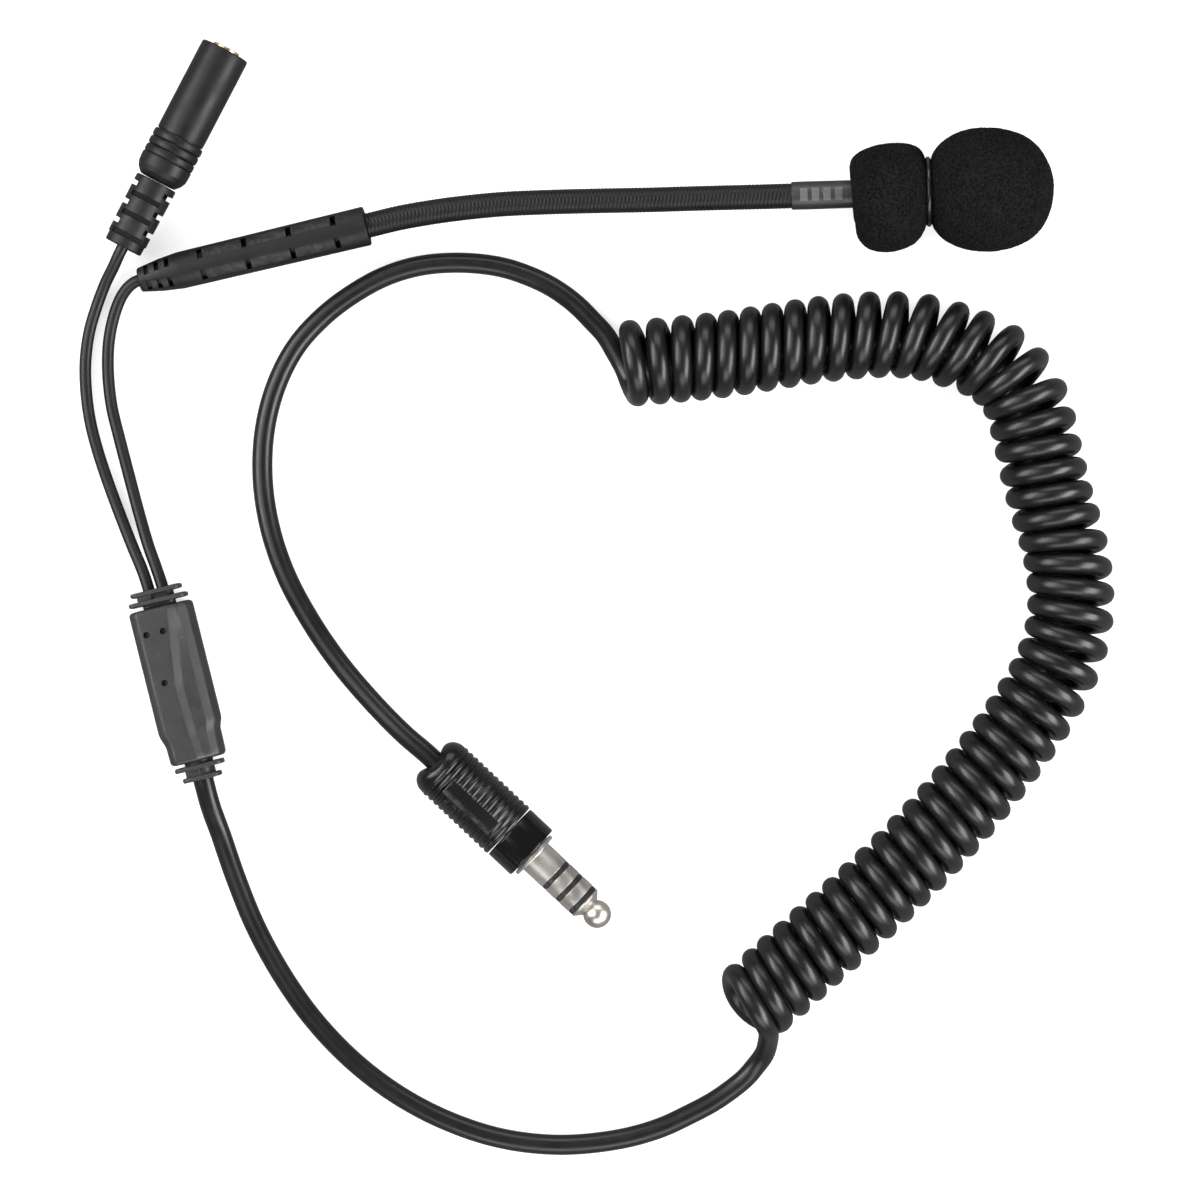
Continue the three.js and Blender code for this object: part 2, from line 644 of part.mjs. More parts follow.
const UPPER_LEAD_ROUTE = [
  [5.3, -34.8, 3.2], [4.2, -31, 2.4], [2.1, -26.6, 2.1], [-0.6, -22.3, 2.1], [-4.2, -18.7, 2.1], [-8.8, -15.4, 2.1],
  [-13.6, -13.1, 2.1], [-19.4, -11.3, 2.1], [-27.3, -10.5, 2.1], [-35.2, -11.1, 2.1],
  [-42.2, -13.2, 2.1], [-48.8, -16.8, 2.1], [-54.8, -21.4, 2.1], [-60.1, -27.3, 2.1],
  [-64.1, -35.1, 2.1], [-66.4, -44.1, 2.1], [-66.8, -54, 2.1], [-65.3, -63.8, 2.1],
  [-62.1, -73.2, 2.1], [-57.4, -82, 2.2], [-51.5, -90.6, 2.9], [-44.6, -98.6, 4.4],
  [-38.3, -104.9, 5.9], [-33.6, -108.9, 6.35],
];
const COIL_ROUTE = [
  [7.5, -31], [16.5, -30.2], [25, -29.3], [33, -28.1], [41, -26.8], [49, -25.8], [57, -25.3],
  [65, -25.8], [72.5, -27.9], [79.5, -31], [84.4, -36.2], [86.9, -43], [88.5, -50.4], [90.5, -58.4],
  [92.9, -66.3], [94.3, -74.4], [94.2, -82.3], [92.2, -90], [88.5, -97.4], [83.7, -104.7],
  [78.3, -111.8], [72.6, -118.8], [66.6, -125.5], [60.4, -131.8], [54.1, -137.8], [48, -143.3],
  [42.2, -148.4], [36.4, -153.6], [31.2, -158.1],
];

function roundShape(radius, sides) {
  const corners = [];
  for (let i = 0; i < sides; i += 1) {
    const angle = (2 * Math.PI * i) / sides;
    corners.push(new THREE.Vector2(radius * Math.cos(angle), radius * Math.sin(angle)));
  }
  return new THREE.Shape(corners);
}

function addTube(name, route, radius, sides, steps, makeMaterial) {
  const points = route.map((point) => new THREE.Vector3(...point));
  const extrudePath = new THREE.CatmullRomCurve3(points, false, 'centripetal');
  const tube = new THREE.ExtrudeGeometry(roundShape(radius, sides), { steps, extrudePath });
  add(leadSet, name, toGeometry(toSolid(tube)), makeMaterial);
}

function addLeads() {
  addTube('phone_lead', PHONE_LEAD_ROUTE, THIN_LEAD_RADIUS, 8, 26, LEAD_JACKET);
  addTube('mic_lead', MIC_LEAD_ROUTE, THIN_LEAD_RADIUS, 8, 24, LEAD_JACKET);
  addTube('main_lead_lower', LOWER_LEAD_ROUTE, MAIN_LEAD_RADIUS, 10, 20, LEAD_JACKET);
  addTube('main_lead_upper', UPPER_LEAD_ROUTE, MAIN_LEAD_RADIUS, 10, 24, LEAD_JACKET);
  const coilHeight = COIL_RADIUS + LYING_HEIGHT;
  const coilRoute = COIL_ROUTE.map(([x, y]) => [x, y, coilHeight]);
  addTube('coil_cord', coilRoute, COIL_RADIUS, 12, 28, LEAD_JACKET);
}

// ---------------------------------------------------------------- the whole set

addHandle();
addGooseneck();
addMicrophone();
addWindscreen();
addJunction();
addSocket();
addPlug();
addLeads();

export default leadSet;
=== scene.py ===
"""Visual model of a boom microphone and earphone lead set, lying on a pale table.

Sizes are millimetres in a piece's own frame, whose X axis runs along the piece and whose
Z axis is nearest to up. own_frame() turns them into metres in the shared frame. Routes of
the leads are metres in the shared frame. The routes of the boom and of the coil are seen from
above, in millimetres.
"""

import json
import logging
import math
from dataclasses import dataclass
from enum import Enum

import bmesh
import bpy
import numpy as np
from mathutils import Matrix, Vector


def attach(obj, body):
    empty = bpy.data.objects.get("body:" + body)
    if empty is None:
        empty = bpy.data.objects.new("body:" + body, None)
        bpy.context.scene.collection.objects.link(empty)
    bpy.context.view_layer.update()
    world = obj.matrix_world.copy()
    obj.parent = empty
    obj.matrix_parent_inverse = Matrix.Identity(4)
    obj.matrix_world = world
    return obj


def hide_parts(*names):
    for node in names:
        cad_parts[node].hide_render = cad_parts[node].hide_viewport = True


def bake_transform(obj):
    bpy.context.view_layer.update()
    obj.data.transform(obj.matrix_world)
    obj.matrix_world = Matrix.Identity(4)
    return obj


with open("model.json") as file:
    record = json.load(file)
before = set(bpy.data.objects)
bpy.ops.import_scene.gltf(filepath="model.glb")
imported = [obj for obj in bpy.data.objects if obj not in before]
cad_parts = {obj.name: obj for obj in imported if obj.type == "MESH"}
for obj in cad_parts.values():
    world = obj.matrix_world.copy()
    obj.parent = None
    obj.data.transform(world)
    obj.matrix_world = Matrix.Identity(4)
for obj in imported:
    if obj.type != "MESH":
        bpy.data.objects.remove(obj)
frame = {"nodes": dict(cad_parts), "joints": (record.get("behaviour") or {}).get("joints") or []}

LOG = logging.getLogger("lead_set")
MM = 0.001
UP = Vector((0.0, 0.0, 1.0))
SHARP_ANGLE = math.radians(32)
SEAM_MERGE = 2e-6
CUTTER_MERGE = 1e-4

Colour = tuple[float, float, float]
Point = tuple[float, float, float]
Profile = list[tuple[float, ...]]
NodeSocket = bpy.types.NodeSocket
NodeTree = bpy.types.NodeTree
Piece = bpy.types.Object


class Body(Enum):
    """The bodies that pieces ride on. The sleeve pieces of the boom's seven links ride on none of
    them.
    """

    LEAD_SET = "lead_set"
    MICROPHONE = "microphone"
    WINDSCREEN = "windscreen"


class Slot(Enum):
    """The record's material slots."""

    MOULDING = "black_moulding"
    BOOM = "boom_jacket"
    RUBBER = "soft_rubber"
    CONNECTOR = "connector_rubber"
    PLUG = "plug_plastic"
    FOAM = "windscreen_foam"
    NICKEL = "nickel_plating"
    GOLD = "gold_plating"
    BRASS = "brass_crimp"
    INSULATION = "contact_insulation"
    BOARD = "circuit_board"
    THIN_LEAD = "thin_lead_jacket"
    MAIN_LEAD = "main_lead_jacket"


class Carving(Enum):
    """How a tool changes the solid that it meets."""

    CUT = "DIFFERENCE"
    JOIN = "UNION"
    KEEP_SHARED = "INTERSECT"


# ------------------------------------------------------------------ node trees


class Tree:
    """A node tree under construction, with short calls for its nodes and links."""

    def __init__(self, tree: NodeTree) -> None:
        """Wraps an existing tree.

        Args:
            tree: a material's tree or a node group.
        """
        self.tree = tree

    @classmethod
    def group(cls, name: str, kind: str, inputs: dict[str, tuple],
              outputs: dict[str, str]) -> "Tree":
        """Makes a node group with named sockets.

        Args:
            name: the group's name.
            kind: GeometryNodeTree or ShaderNodeTree.
            inputs: socket kind and default value for each input name.
            outputs: socket kind for each output name.

        Returns:
            The group, with .source holding its inputs and .sink its outputs.
        """
        made = cls(bpy.data.node_groups.new(name, kind))
        for label, (socket, value) in inputs.items():
            item = made.tree.interface.new_socket(label, in_out="INPUT", socket_type=socket)
            if value is not None:
                item.default_value = value
        for label, socket in outputs.items():
            made.tree.interface.new_socket(label, in_out="OUTPUT", socket_type=socket)
        made.source = made.tree.nodes.new("NodeGroupInput").outputs
        made.sink = made.tree.nodes.new("NodeGroupOutput").inputs
        return made

    def add(self, kind: str, inputs: dict | None = None, **settings: object) -> bpy.types.Node:
        """Adds a node.

        Args:
            kind: the node's type name.
            inputs: a value or an output socket for each input, by place, identifier or name.
            settings: the node's properties.

        Returns:
            The new node.
        """
        node = self.tree.nodes.new(kind)
        for key, value in settings.items():
            setattr(node, key, value)
        for key, value in (inputs or {}).items():
            self.feed(self.socket(node.inputs, key), value)
        return node

    @staticmethod
    def socket(sockets: bpy.types.bpy_prop_collection, key: int | str) -> NodeSocket:
        """Finds a socket.

        Args:
            sockets: a node's inputs or outputs.
            key: its place, its identifier or its name.

        Returns:
            The socket.
        """
        if isinstance(key, int):
            return sockets[key]
        exact = [item for item in sockets if item.identifier == key]
        return exact[0] if exact else sockets[key]

    def feed(self, target: NodeSocket, value: object) -> None:
        """Links an output to a socket, or sets the socket's value.

        Args:
            target: the input socket.
            value: an output socket or a constant.
        """
        if isinstance(value, NodeSocket):
            self.tree.links.new(value, target)
        else:
            target.default_value = value

    def math(self, operation: str, *values: object, clamp: bool = False) -> NodeSocket:
        """Adds a Math node.

        Args:
            operation: such as MULTIPLY.
            values: its inputs.
            clamp: whether the result stays between 0 and 1.

        Returns:
            The result.
        """
        node = self.add("ShaderNodeMath", dict(enumerate(values)), operation=operation,
                        use_clamp=clamp)
        return node.outputs[0]

    def vector(self, operation: str, *values: object) -> NodeSocket:
        """Adds a Vector Math node.

        Args:
            operation: such as SCALE.
            values: its inputs; a scale factor is named in a dictionary.

        Returns:
            The result.
        """
        inputs = {}
        for place, value in enumerate(values):
            inputs.update(value if isinstance(value, dict) else {place: value})
        node = self.add("ShaderNodeVectorMath", inputs, operation=operation)
        return node.outputs["Value" if operation in ("LENGTH", "DOT_PRODUCT") else "Vector"]

    def ramp(self, value: object, low: float, high: float, start: float = 0.0,
             end: float = 1.0) -> NodeSocket:
        """Turns a value smoothly from start to end while it goes from low to high.

        Args:
            value: the value.
            low: where the turn begins.
            high: where it ends.
            start: the result up to low.
            end: the result from high.

        Returns:
            The result.
        """
        inputs = {"Value": value, "From Min": low, "From Max": high, "To Min": start,
                  "To Max": end}
        node = self.add("ShaderNodeMapRange", inputs, interpolation_type="SMOOTHSTEP")
        return node.outputs[0]

    def mix(self, share: object, first: object, second: object) -> NodeSocket:
        """Mixes two colours.

        Args:
            share: how much of the second colour shows.
            first: a colour.
            second: a colour.

        Returns:
            The mixed colour.
        """
        inputs = {"Factor_Float": share, "A_Color": first, "B_Color": second}
        node = self.add("ShaderNodeMix", inputs, data_type="RGBA")
        return self.socket(node.outputs, "Result_Color")

    def noise(self, position: object, scale: object, detail: float = 2.0) -> NodeSocket:
        """Adds a noise texture.

        Args:
            position: where to read it.
            scale: features per metre.
            detail: its octaves.

        Returns:
            Its value, from 0 to 1.
        """
        inputs = {"Vector": position, "Scale": scale, "Detail": detail}
        return self.add("ShaderNodeTexNoise", inputs).outputs[0]

    def cells(self, position: object, scale: object, feature: str = "F1") -> bpy.types.Node:
        """Adds a Voronoi texture.

        Args:
            position: where to read it.
            scale: cells per metre.
            feature: which distance it measures.

        Returns:
            The node.
        """
        return self.add("ShaderNodeTexVoronoi", {"Vector": position, "Scale": scale},
                        feature=feature)

    def use(self, group: NodeTree, **inputs: object) -> bpy.types.bpy_prop_collection:
        """Places a shader group.

        Args:
            group: the node group.
            inputs: its inputs, with an underscore for each space in a name.

        Returns:
            Its outputs.
        """
        node = self.add("ShaderNodeGroup")
        node.node_tree = group
        for label, value in inputs.items():
            self.feed(node.inputs[label.replace("_", " ")], value)
        return node.outputs


# ------------------------------------------------------------------ surface effects


class Effect(Enum):
    """Shader groups that several finishes share."""

    GRAIN = "moulded_grain"
    WEAR = "handling_wear"
    DUST = "settled_dust"
    SCRATCHES = "hairline_scratches"

    def group(self) -> NodeTree:
        """Returns the effect's node group, made on first use."""
        made = bpy.data.node_groups.get(self.value)
        return made or getattr(self, f"_{self.name.lower()}")().tree

    def _start(self, inputs: dict[str, tuple], outputs: dict[str, str]) -> Tree:
        """Starts a shader group that reads a position.

        Args:
            inputs: its other inputs.
            outputs: its outputs.

        Returns:
            The group.
        """
        sockets = {"Position": ("NodeSocketVector", None), **inputs}
        return Tree.group(self.value, "ShaderNodeTree", sockets, outputs)

    def _grain(self) -> Tree:
        """Pebbled grain of a spark-eroded mould.

        Returns:
            The group.
        """
        tree = self._start(
            {"Size": ("NodeSocketFloat", 0.0003), "Depth": ("NodeSocketFloat", 0.00001)},
            {"Height": "NodeSocketFloat", "Pits": "NodeSocketFloat"},
        )
        scale = tree.math("DIVIDE", 1.0, tree.source["Size"])
        soft = tree.noise(tree.source["Position"], scale, 3.0)
        pebble = tree.cells(tree.source["Position"],
                            tree.math("MULTIPLY", scale, 0.8)).outputs["Distance"]
        height = tree.math("SUBTRACT", tree.math("MULTIPLY", soft, 1.3),
                           tree.math("MULTIPLY", pebble, 0.5))
        tree.feed(tree.sink["Height"], tree.math("MULTIPLY", height, tree.source["Depth"]))
        # Pits: the grain's low places, which the finishes darken with painted shade.
        tree.feed(tree.sink["Pits"], tree.ramp(height, 0.2, 0.62, 1.0, 0.0))
        return tree

    def _wear(self) -> Tree:
        """Rubbed edges, broken up so that no edge is evenly bright.

        Returns:
            The group.
        """
        tree = self._start({"Amount": ("NodeSocketFloat", 0.3)}, {"Mask": "NodeSocketFloat"})
        edge = tree.ramp(tree.add("ShaderNodeNewGeometry").outputs["Pointiness"], 0.52, 0.62)
        broken = tree.ramp(tree.noise(tree.source["Position"], 900.0, 4.0), 0.4, 0.68)
        rubbed = tree.math("MULTIPLY", edge, tree.math("MULTIPLY_ADD", broken, 0.75, 0.25))
        tree.feed(tree.sink["Mask"],
                  tree.math("MULTIPLY", rubbed, tree.source["Amount"], clamp=True))
        return tree

    def _dust(self) -> Tree:
        """Specks and lint on the faces that look up.

        Returns:
            The group.
        """
        tree = self._start({"Amount": ("NodeSocketFloat", 0.3)}, {"Mask": "NodeSocketFloat"})
        position = tree.source["Position"]
        grains = tree.cells(position, 620.0)
        speck = tree.ramp(grains.outputs["Distance"], 0.05, 0.13, 1.0, 0.0)
        shade = tree.add("ShaderNodeSeparateColor", {0: grains.outputs["Color"]}).outputs[0]
        chosen = tree.ramp(shade, 0.8, 0.84)
        bent = tree.vector("ADD", position, tree.vector("SCALE", tree.add(
            "ShaderNodeTexNoise", {"Vector": position, "Scale": 160.0}).outputs["Color"],
            {"Scale": 0.004}))
        lint_cells = tree.cells(bent, 210.0, "DISTANCE_TO_EDGE").outputs["Distance"]
        lint = tree.math("MULTIPLY", tree.ramp(lint_cells, 0.006, 0.014, 1.0, 0.0),
                         tree.ramp(tree.noise(position, 330.0), 0.62, 0.68))
        normal = tree.add("ShaderNodeSeparateXYZ",
                          {0: tree.add("ShaderNodeNewGeometry").outputs["Normal"]})
        upward = tree.ramp(normal.outputs["Z"], 0.1, 0.7)
        marks = tree.math("MAXIMUM", tree.math("MULTIPLY", speck, chosen),
                          tree.math("MULTIPLY", lint, 0.6))
        film = tree.math("MULTIPLY", tree.noise(position, 70.0, 5.0), 0.16)
        amount = tree.math("MULTIPLY", tree.math("ADD", marks, film), tree.source["Amount"])
        tree.feed(tree.sink["Mask"], tree.math("MULTIPLY", amount, upward, clamp=True))
        return tree

    def _scratches(self) -> Tree:
        """Fine turned rings and rubbed streaks; the position's X runs along the piece.

        Returns:
            The group.
        """
        tree = self._start(
            {"Amount": ("NodeSocketFloat", 0.4)},
            {"Mask": "NodeSocketFloat", "Height": "NodeSocketFloat"})
        position = tree.source["Position"]
        ring_space = tree.vector("MULTIPLY", position, (1.0, 0.05, 0.05))
        rings = tree.noise(ring_space, 9000.0, 3.0)
        streak_space = tree.vector("MULTIPLY", position, (0.06, 1.0, 1.0))
        streaks = tree.ramp(tree.noise(streak_space, 5200.0, 3.0), 0.56, 0.66)
        patch = tree.ramp(tree.noise(position, 420.0, 3.0), 0.42, 0.6)
        mask = tree.math("MAXIMUM", tree.math("MULTIPLY", streaks, patch),
                         tree.ramp(rings, 0.55, 0.75))
        tree.feed(tree.sink["Mask"],
                  tree.math("MULTIPLY", mask, tree.source["Amount"], clamp=True))
        height = tree.math("MULTIPLY", tree.math("SUBTRACT", rings, streaks), 0.000002)
        tree.feed(tree.sink["Height"], height)
        return tree


# ------------------------------------------------------------------ finishes


def shade(level: float, tint: Colour = (1.0, 1.0, 1.0)) -> tuple[float, float, float, float]:
    """Makes a colour from a linear grey level.

    Args:
        level: how light it is.
        tint: what it is multiplied by.

    Returns:
        Red, green, blue and alpha.
    """
    return (level * tint[0], level * tint[1], level * tint[2], 1.0)


COOL = (0.94, 0.98, 1.06)
NEUTRAL = (0.99, 0.98, 1.03)
# Share of the level used for the painted shade in grain pits, and for the darker scratch marks.
PIT_SHADE_AND_SCRATCH_SHARE = 0.35
DUST_COLOUR = shade(0.42, (1.0, 0.98, 0.95))


@dataclass(frozen=True)
class Finish:
    """A material: its constants, and how it is built from the shared effects.

    Sizes are in millimetres. The levels are linear grey.
    """

    name: str
    slot: Slot
    level: float
    tint: Colour = NEUTRAL
    roughness: float = 0.55
    metallic: float = 0.0
    specular: float = 0.5
    coat: float = 0.0
    coat_roughness: float = 0.1
    grain_size: float = 0.35
    grain_depth: float = 0.012
    # How strongly the grain's pits are darkened with painted shade.
    painted_pit_shade: float = 0.25
    blotch: float = 0.2
    wear: float = 0.25
    worn_level: float = 0.16
    dust: float = 0.3
    scratches: float = 0.0
    turn: float = 0.0

    def material(self) -> bpy.types.Material:
        """Returns the finish's material, made on first use."""
        return bpy.data.materials.get(self.name) or self._build()

    def _position(self, tree: Tree) -> NodeSocket:
        """Reads object coordinates, turned so that X runs along the piece.

        Args:
            tree: the material's tree.

        Returns:
            The position in metres.
        """
        place = tree.add("ShaderNodeTexCoord").outputs["Object"]
        if not self.turn:
            return place
        turned = {"Vector": place, "Rotation": (0.0, 0.0, self.turn)}
        return tree.add("ShaderNodeMapping", turned, vector_type="TEXTURE").outputs[0]

    def _colour(self, tree: Tree, position: NodeSocket, pits: NodeSocket) -> NodeSocket:
        """Builds the base colour before wear and dust, with painted shade darkening the grain's low
        places.

        Args:
            tree: the material's tree.
            position: where to read patterns.
            pits: the mask of the grain's low places.

        Returns:
            The colour.
        """
        broad = tree.noise(position, 110.0, 4.0)
        light = shade(self.level * (1 + self.blotch), self.tint)
        dark = shade(self.level * (1 - self.blotch), self.tint)
        mottled = tree.mix(tree.ramp(broad, 0.3, 0.7), dark, light)
        # Painted shade: the grain's pits are darkened as if shade fell in them.
        share = tree.math("MULTIPLY", pits, self.painted_pit_shade)
        return tree.mix(share, mottled, shade(self.level * PIT_SHADE_AND_SCRATCH_SHARE, self.tint))

    def _build(self) -> bpy.types.Material:
        """Builds the material.

        Returns:
            The new material.
        """
        made = bpy.data.materials.new(self.name)
        made.use_nodes = True
        made.diffuse_color = shade(self.level, self.tint)
        tree = Tree(made.node_tree)
        shader = next(node for node in tree.tree.nodes if node.type == "BSDF_PRINCIPLED")
        position = self._position(tree)
        grain = tree.use(Effect.GRAIN.group(), Position=position, Size=self.grain_size * MM,
                         Depth=self.grain_depth * MM)
        colour, height = self._colour(tree, position, grain["Pits"]), grain["Height"]
        wear = tree.use(Effect.WEAR.group(), Position=position, Amount=self.wear)["Mask"]
        colour = tree.mix(wear, colour, shade(self.worn_level, self.tint))
        dust = tree.use(Effect.DUST.group(), Position=position, Amount=self.dust)["Mask"]
        colour = tree.mix(dust, colour, DUST_COLOUR)
        unevenness = tree.ramp(tree.noise(position, 260.0, 4.0), 0.3, 0.7,
                               self.roughness * 0.88, self.roughness * 1.12)
        roughness = tree.math("MULTIPLY_ADD", dust, 0.3, unevenness)
        if self.scratches:
            marks = tree.use(Effect.SCRATCHES.group(), Position=position, Amount=self.scratches)
            height = tree.math("ADD", height, marks["Height"])
            roughness = tree.math("MULTIPLY_ADD", marks["Mask"], 0.25, roughness)
            colour = tree.mix(tree.math("MULTIPLY", marks["Mask"], 0.5), colour,
                              shade(self.level * PIT_SHADE_AND_SCRATCH_SHARE, self.tint))
        bump = tree.add("ShaderNodeBump", {"Height": height, "Distance": 1.0})
        constants = {"Metallic": self.metallic, "Specular IOR Level": self.specular,
                     "Coat Weight": self.coat, "Coat Roughness": self.coat_roughness}
        for label, value in constants.items():
            shader.inputs[label].default_value = value
        tree.feed(shader.inputs["Base Color"], colour)
        tree.feed(shader.inputs["Roughness"], roughness)
        tree.feed(shader.inputs["Normal"], bump.outputs["Normal"])
        return made


@dataclass(frozen=True)
class FoamFinish(Finish):
    """Open-cell foam: struts lighter with painted light round cells darker with painted shade,
    painted glints, and a little lint.
    """

    cell: float = 0.62

    def _colour(self, tree: Tree, position: NodeSocket, pits: NodeSocket) -> NodeSocket:
        """Colours the struts with painted light and the cells with painted shade, and adds painted
        glints.

        Args:
            tree: the material's tree.
            position: where to read patterns.
            pits: the mask of the grain's low places. Not used here.

        Returns:
            The colour.
        """
        cells = tree.cells(position, 1 / (self.cell * MM)).outputs["Distance"]
        # Painted light on the struts and painted shade in the cells between them.
        struts = tree.ramp(cells, 0.28, 0.62)
        fine = tree.ramp(tree.noise(position, 2.3 / (self.cell * MM), 3.0), 0.42, 0.66)
        lit = tree.math("MULTIPLY", tree.math("MULTIPLY_ADD", fine, 0.7, 0.3), struts)
        base = tree.mix(lit, shade(self.level * 0.22, self.tint),
                        shade(self.level * 1.9, self.tint))
        # Painted glints: small bright specks standing in for highlights.
        painted_glint = tree.ramp(tree.noise(position, 3.1 / (self.cell * MM), 1.0), 0.7, 0.78)
        return tree.mix(tree.math("MULTIPLY", painted_glint, 0.5), base,
                        shade(self.level * 6.0, self.tint))


@dataclass(frozen=True)
class MarkedFinish(Finish):
    """A sleeve with plain printed bars on top, in the sleeve's own frame."""

    place: Matrix = Matrix.Identity(4)
    first: float = 7.4
    last: float = 16.6
    pitch: float = 2.3
    bar_share: float = 0.62
    half_width: float = 1.25
    ink_level: float = 0.075

    def _colour(self, tree: Tree, position: NodeSocket, pits: NodeSocket) -> NodeSocket:
        """Prints the bars over the sleeve's colour.

        Args:
            tree: the material's tree.
            position: where to read patterns.
            pits: the mask of the grain's low places.

        Returns:
            The colour.
        """
        plain = super()._colour(tree, position, pits)
        location, rotation, scale = self.place.decompose()
        own = tree.add("ShaderNodeMapping", {
            "Vector": tree.add("ShaderNodeTexCoord").outputs["Object"], "Location": location,
            "Rotation": rotation.to_euler(), "Scale": scale}, vector_type="TEXTURE").outputs[0]
        part = tree.add("ShaderNodeSeparateXYZ", {0: own}).outputs
        edge = 0.06
        start = tree.ramp(part["X"], self.first - edge, self.first)
        end = tree.ramp(part["X"], self.last, self.last + edge, 1.0, 0.0)
        phase = tree.math(
            "FRACT", tree.math("DIVIDE", tree.math("SUBTRACT", part["X"], self.first), self.pitch))
        bar = tree.ramp(phase, self.bar_share, self.bar_share + 0.04, 1.0, 0.0)
        across = tree.ramp(tree.math("ABSOLUTE", part["Y"]), self.half_width,
                           self.half_width + edge, 1.0, 0.0)
        top = tree.ramp(part["Z"], 0.0, 0.5)
        printed = tree.math("MULTIPLY", tree.math("MULTIPLY", start, end),
                            tree.math("MULTIPLY", bar, across))
        thin = tree.ramp(tree.noise(position, 2600.0, 3.0), 0.25, 0.5, 0.62, 1.0)
        ink = tree.math("MULTIPLY", tree.math("MULTIPLY", printed, top), thin)
        return tree.mix(ink, plain, shade(self.ink_level))


@dataclass(frozen=True)
class BoardFinish(Finish):
    """A circuit board: green mask with copper tracks under it."""

    def _colour(self, tree: Tree, position: NodeSocket, pits: NodeSocket) -> NodeSocket:
        """Colours the mask and the tracks.

        Args:
            tree: the material's tree.
            position: where to read patterns.
            pits: the mask of the grain's low places.

        Returns:
            The colour.
        """
        plain = super()._colour(tree, position, pits)
        brick = {"Vector": position, "Scale": 420.0, "Mortar Size": 0.06, "Color1": shade(0.0),
                 "Color2": shade(0.0), "Mortar": shade(1.0)}
        tracks = tree.add("ShaderNodeTexBrick", brick).outputs["Fac"]
        return tree.mix(tree.math("MULTIPLY", tracks, 0.5), plain, shade(0.12, (0.7, 1.3, 0.6)))


HANDLE_FINISH = Finish("handle_moulding", Slot.MOULDING, 0.0035, grain_size=0.5, grain_depth=0.007,
                       roughness=0.5, specular=0.26, wear=0.2, dust=0.05)
# The junction's grain pits get twice the usual painted shade.
JUNCTION_FINISH = Finish("junction_moulding", Slot.MOULDING, 0.012, tint=COOL, grain_size=0.42,
                         grain_depth=0.012, painted_pit_shade=0.5, roughness=0.46, wear=0.12,
                         dust=0.12)
CASING_FINISH = Finish("casing_moulding", Slot.MOULDING, 0.008, grain_size=0.3, grain_depth=0.004,
                       roughness=0.5)
BOOM_FINISH = Finish("boom_sleeve_rubber", Slot.BOOM, 0.004, tint=(1.04, 0.97, 1.02),
                     grain_size=0.22,
                     grain_depth=0.0015, roughness=0.42, specular=0.24, wear=0.0, dust=0.03)
RING_FINISH = Finish("ring_rubber", Slot.RUBBER, 0.004, grain_depth=0.001, roughness=0.25,
                     wear=0.0)
SOCKET_FINISH = Finish("socket_rubber", Slot.CONNECTOR, 0.0045, tint=COOL, grain_size=0.4,
                       grain_depth=0.006, roughness=0.45, specular=0.26, wear=0.08, dust=0.05)
GRIP_FINISH = Finish("plug_grip_plastic", Slot.PLUG, 0.002, grain_size=0.5, grain_depth=0.002,
                     roughness=0.26, specular=0.3, wear=0.2, coat=0.1, coat_roughness=0.2,
                     dust=0.05)
COLLAR_FINISH = Finish("plug_collar_plastic", Slot.PLUG, 0.0015, grain_depth=0.0005, roughness=0.2,
                       specular=0.25, coat=0.12, coat_roughness=0.12, wear=0.1, dust=0.03)
BAND_FINISH = Finish("band_plastic", Slot.INSULATION, 0.004, grain_depth=0.001, roughness=0.4,
                     dust=0.05)
BLOCK_FINISH = Finish("block_plastic", Slot.INSULATION, 0.02, tint=(1.1, 1.0, 0.9), roughness=0.45,
                      grain_depth=0.002)
THIN_LEAD_FINISH = Finish("thin_lead_skin", Slot.THIN_LEAD, 0.007, tint=COOL, grain_size=0.3,
                          grain_depth=0.0015, roughness=0.4, specular=0.25, wear=0.0, blotch=0.15,
                          dust=0.04)
MAIN_LEAD_FINISH = Finish("main_lead_skin", Slot.MAIN_LEAD, 0.0035, tint=COOL, grain_size=0.35,
                          grain_depth=0.0018, roughness=0.32, specular=0.36, wear=0.0, blotch=0.2,
                          dust=0.04)
NICKEL_FINISH = Finish("bright_nickel", Slot.NICKEL, 0.56, tint=(1.0, 0.95, 0.88), metallic=1.0,
                       roughness=0.34, grain_depth=0.0005, painted_pit_shade=0.08, wear=0.1,
                       worn_level=0.75, dust=0.1, scratches=0.7, turn=math.radians(-43.2))
GOLD_FINISH = Finish("bright_gold", Slot.GOLD, 0.8, tint=(1.0, 0.77, 0.42), metallic=1.0,
                     roughness=0.25, grain_depth=0.0005, painted_pit_shade=0.05, worn_level=0.9,
                     scratches=0.4, turn=math.radians(62.4))
BRASS_FINISH = Finish("plain_brass", Slot.BRASS, 0.55, tint=(1.0, 0.8, 0.45), metallic=1.0,
                      roughness=0.34, grain_depth=0.001, worn_level=0.7, scratches=0.3)
BOARD_FINISH = BoardFinish("board_mask", Slot.BOARD, 0.05, tint=(0.35, 1.3, 0.5), roughness=0.4,
                           grain_depth=0.001)
FOAM_FINISH = FoamFinish("open_cell_foam", Slot.FOAM, 0.004, tint=(0.97, 0.96, 1.1),
                         roughness=0.95,
                         specular=0.1, grain_size=0.4, grain_depth=0.09, wear=0.0, dust=0.03)


# ------------------------------------------------------------------ mesh work


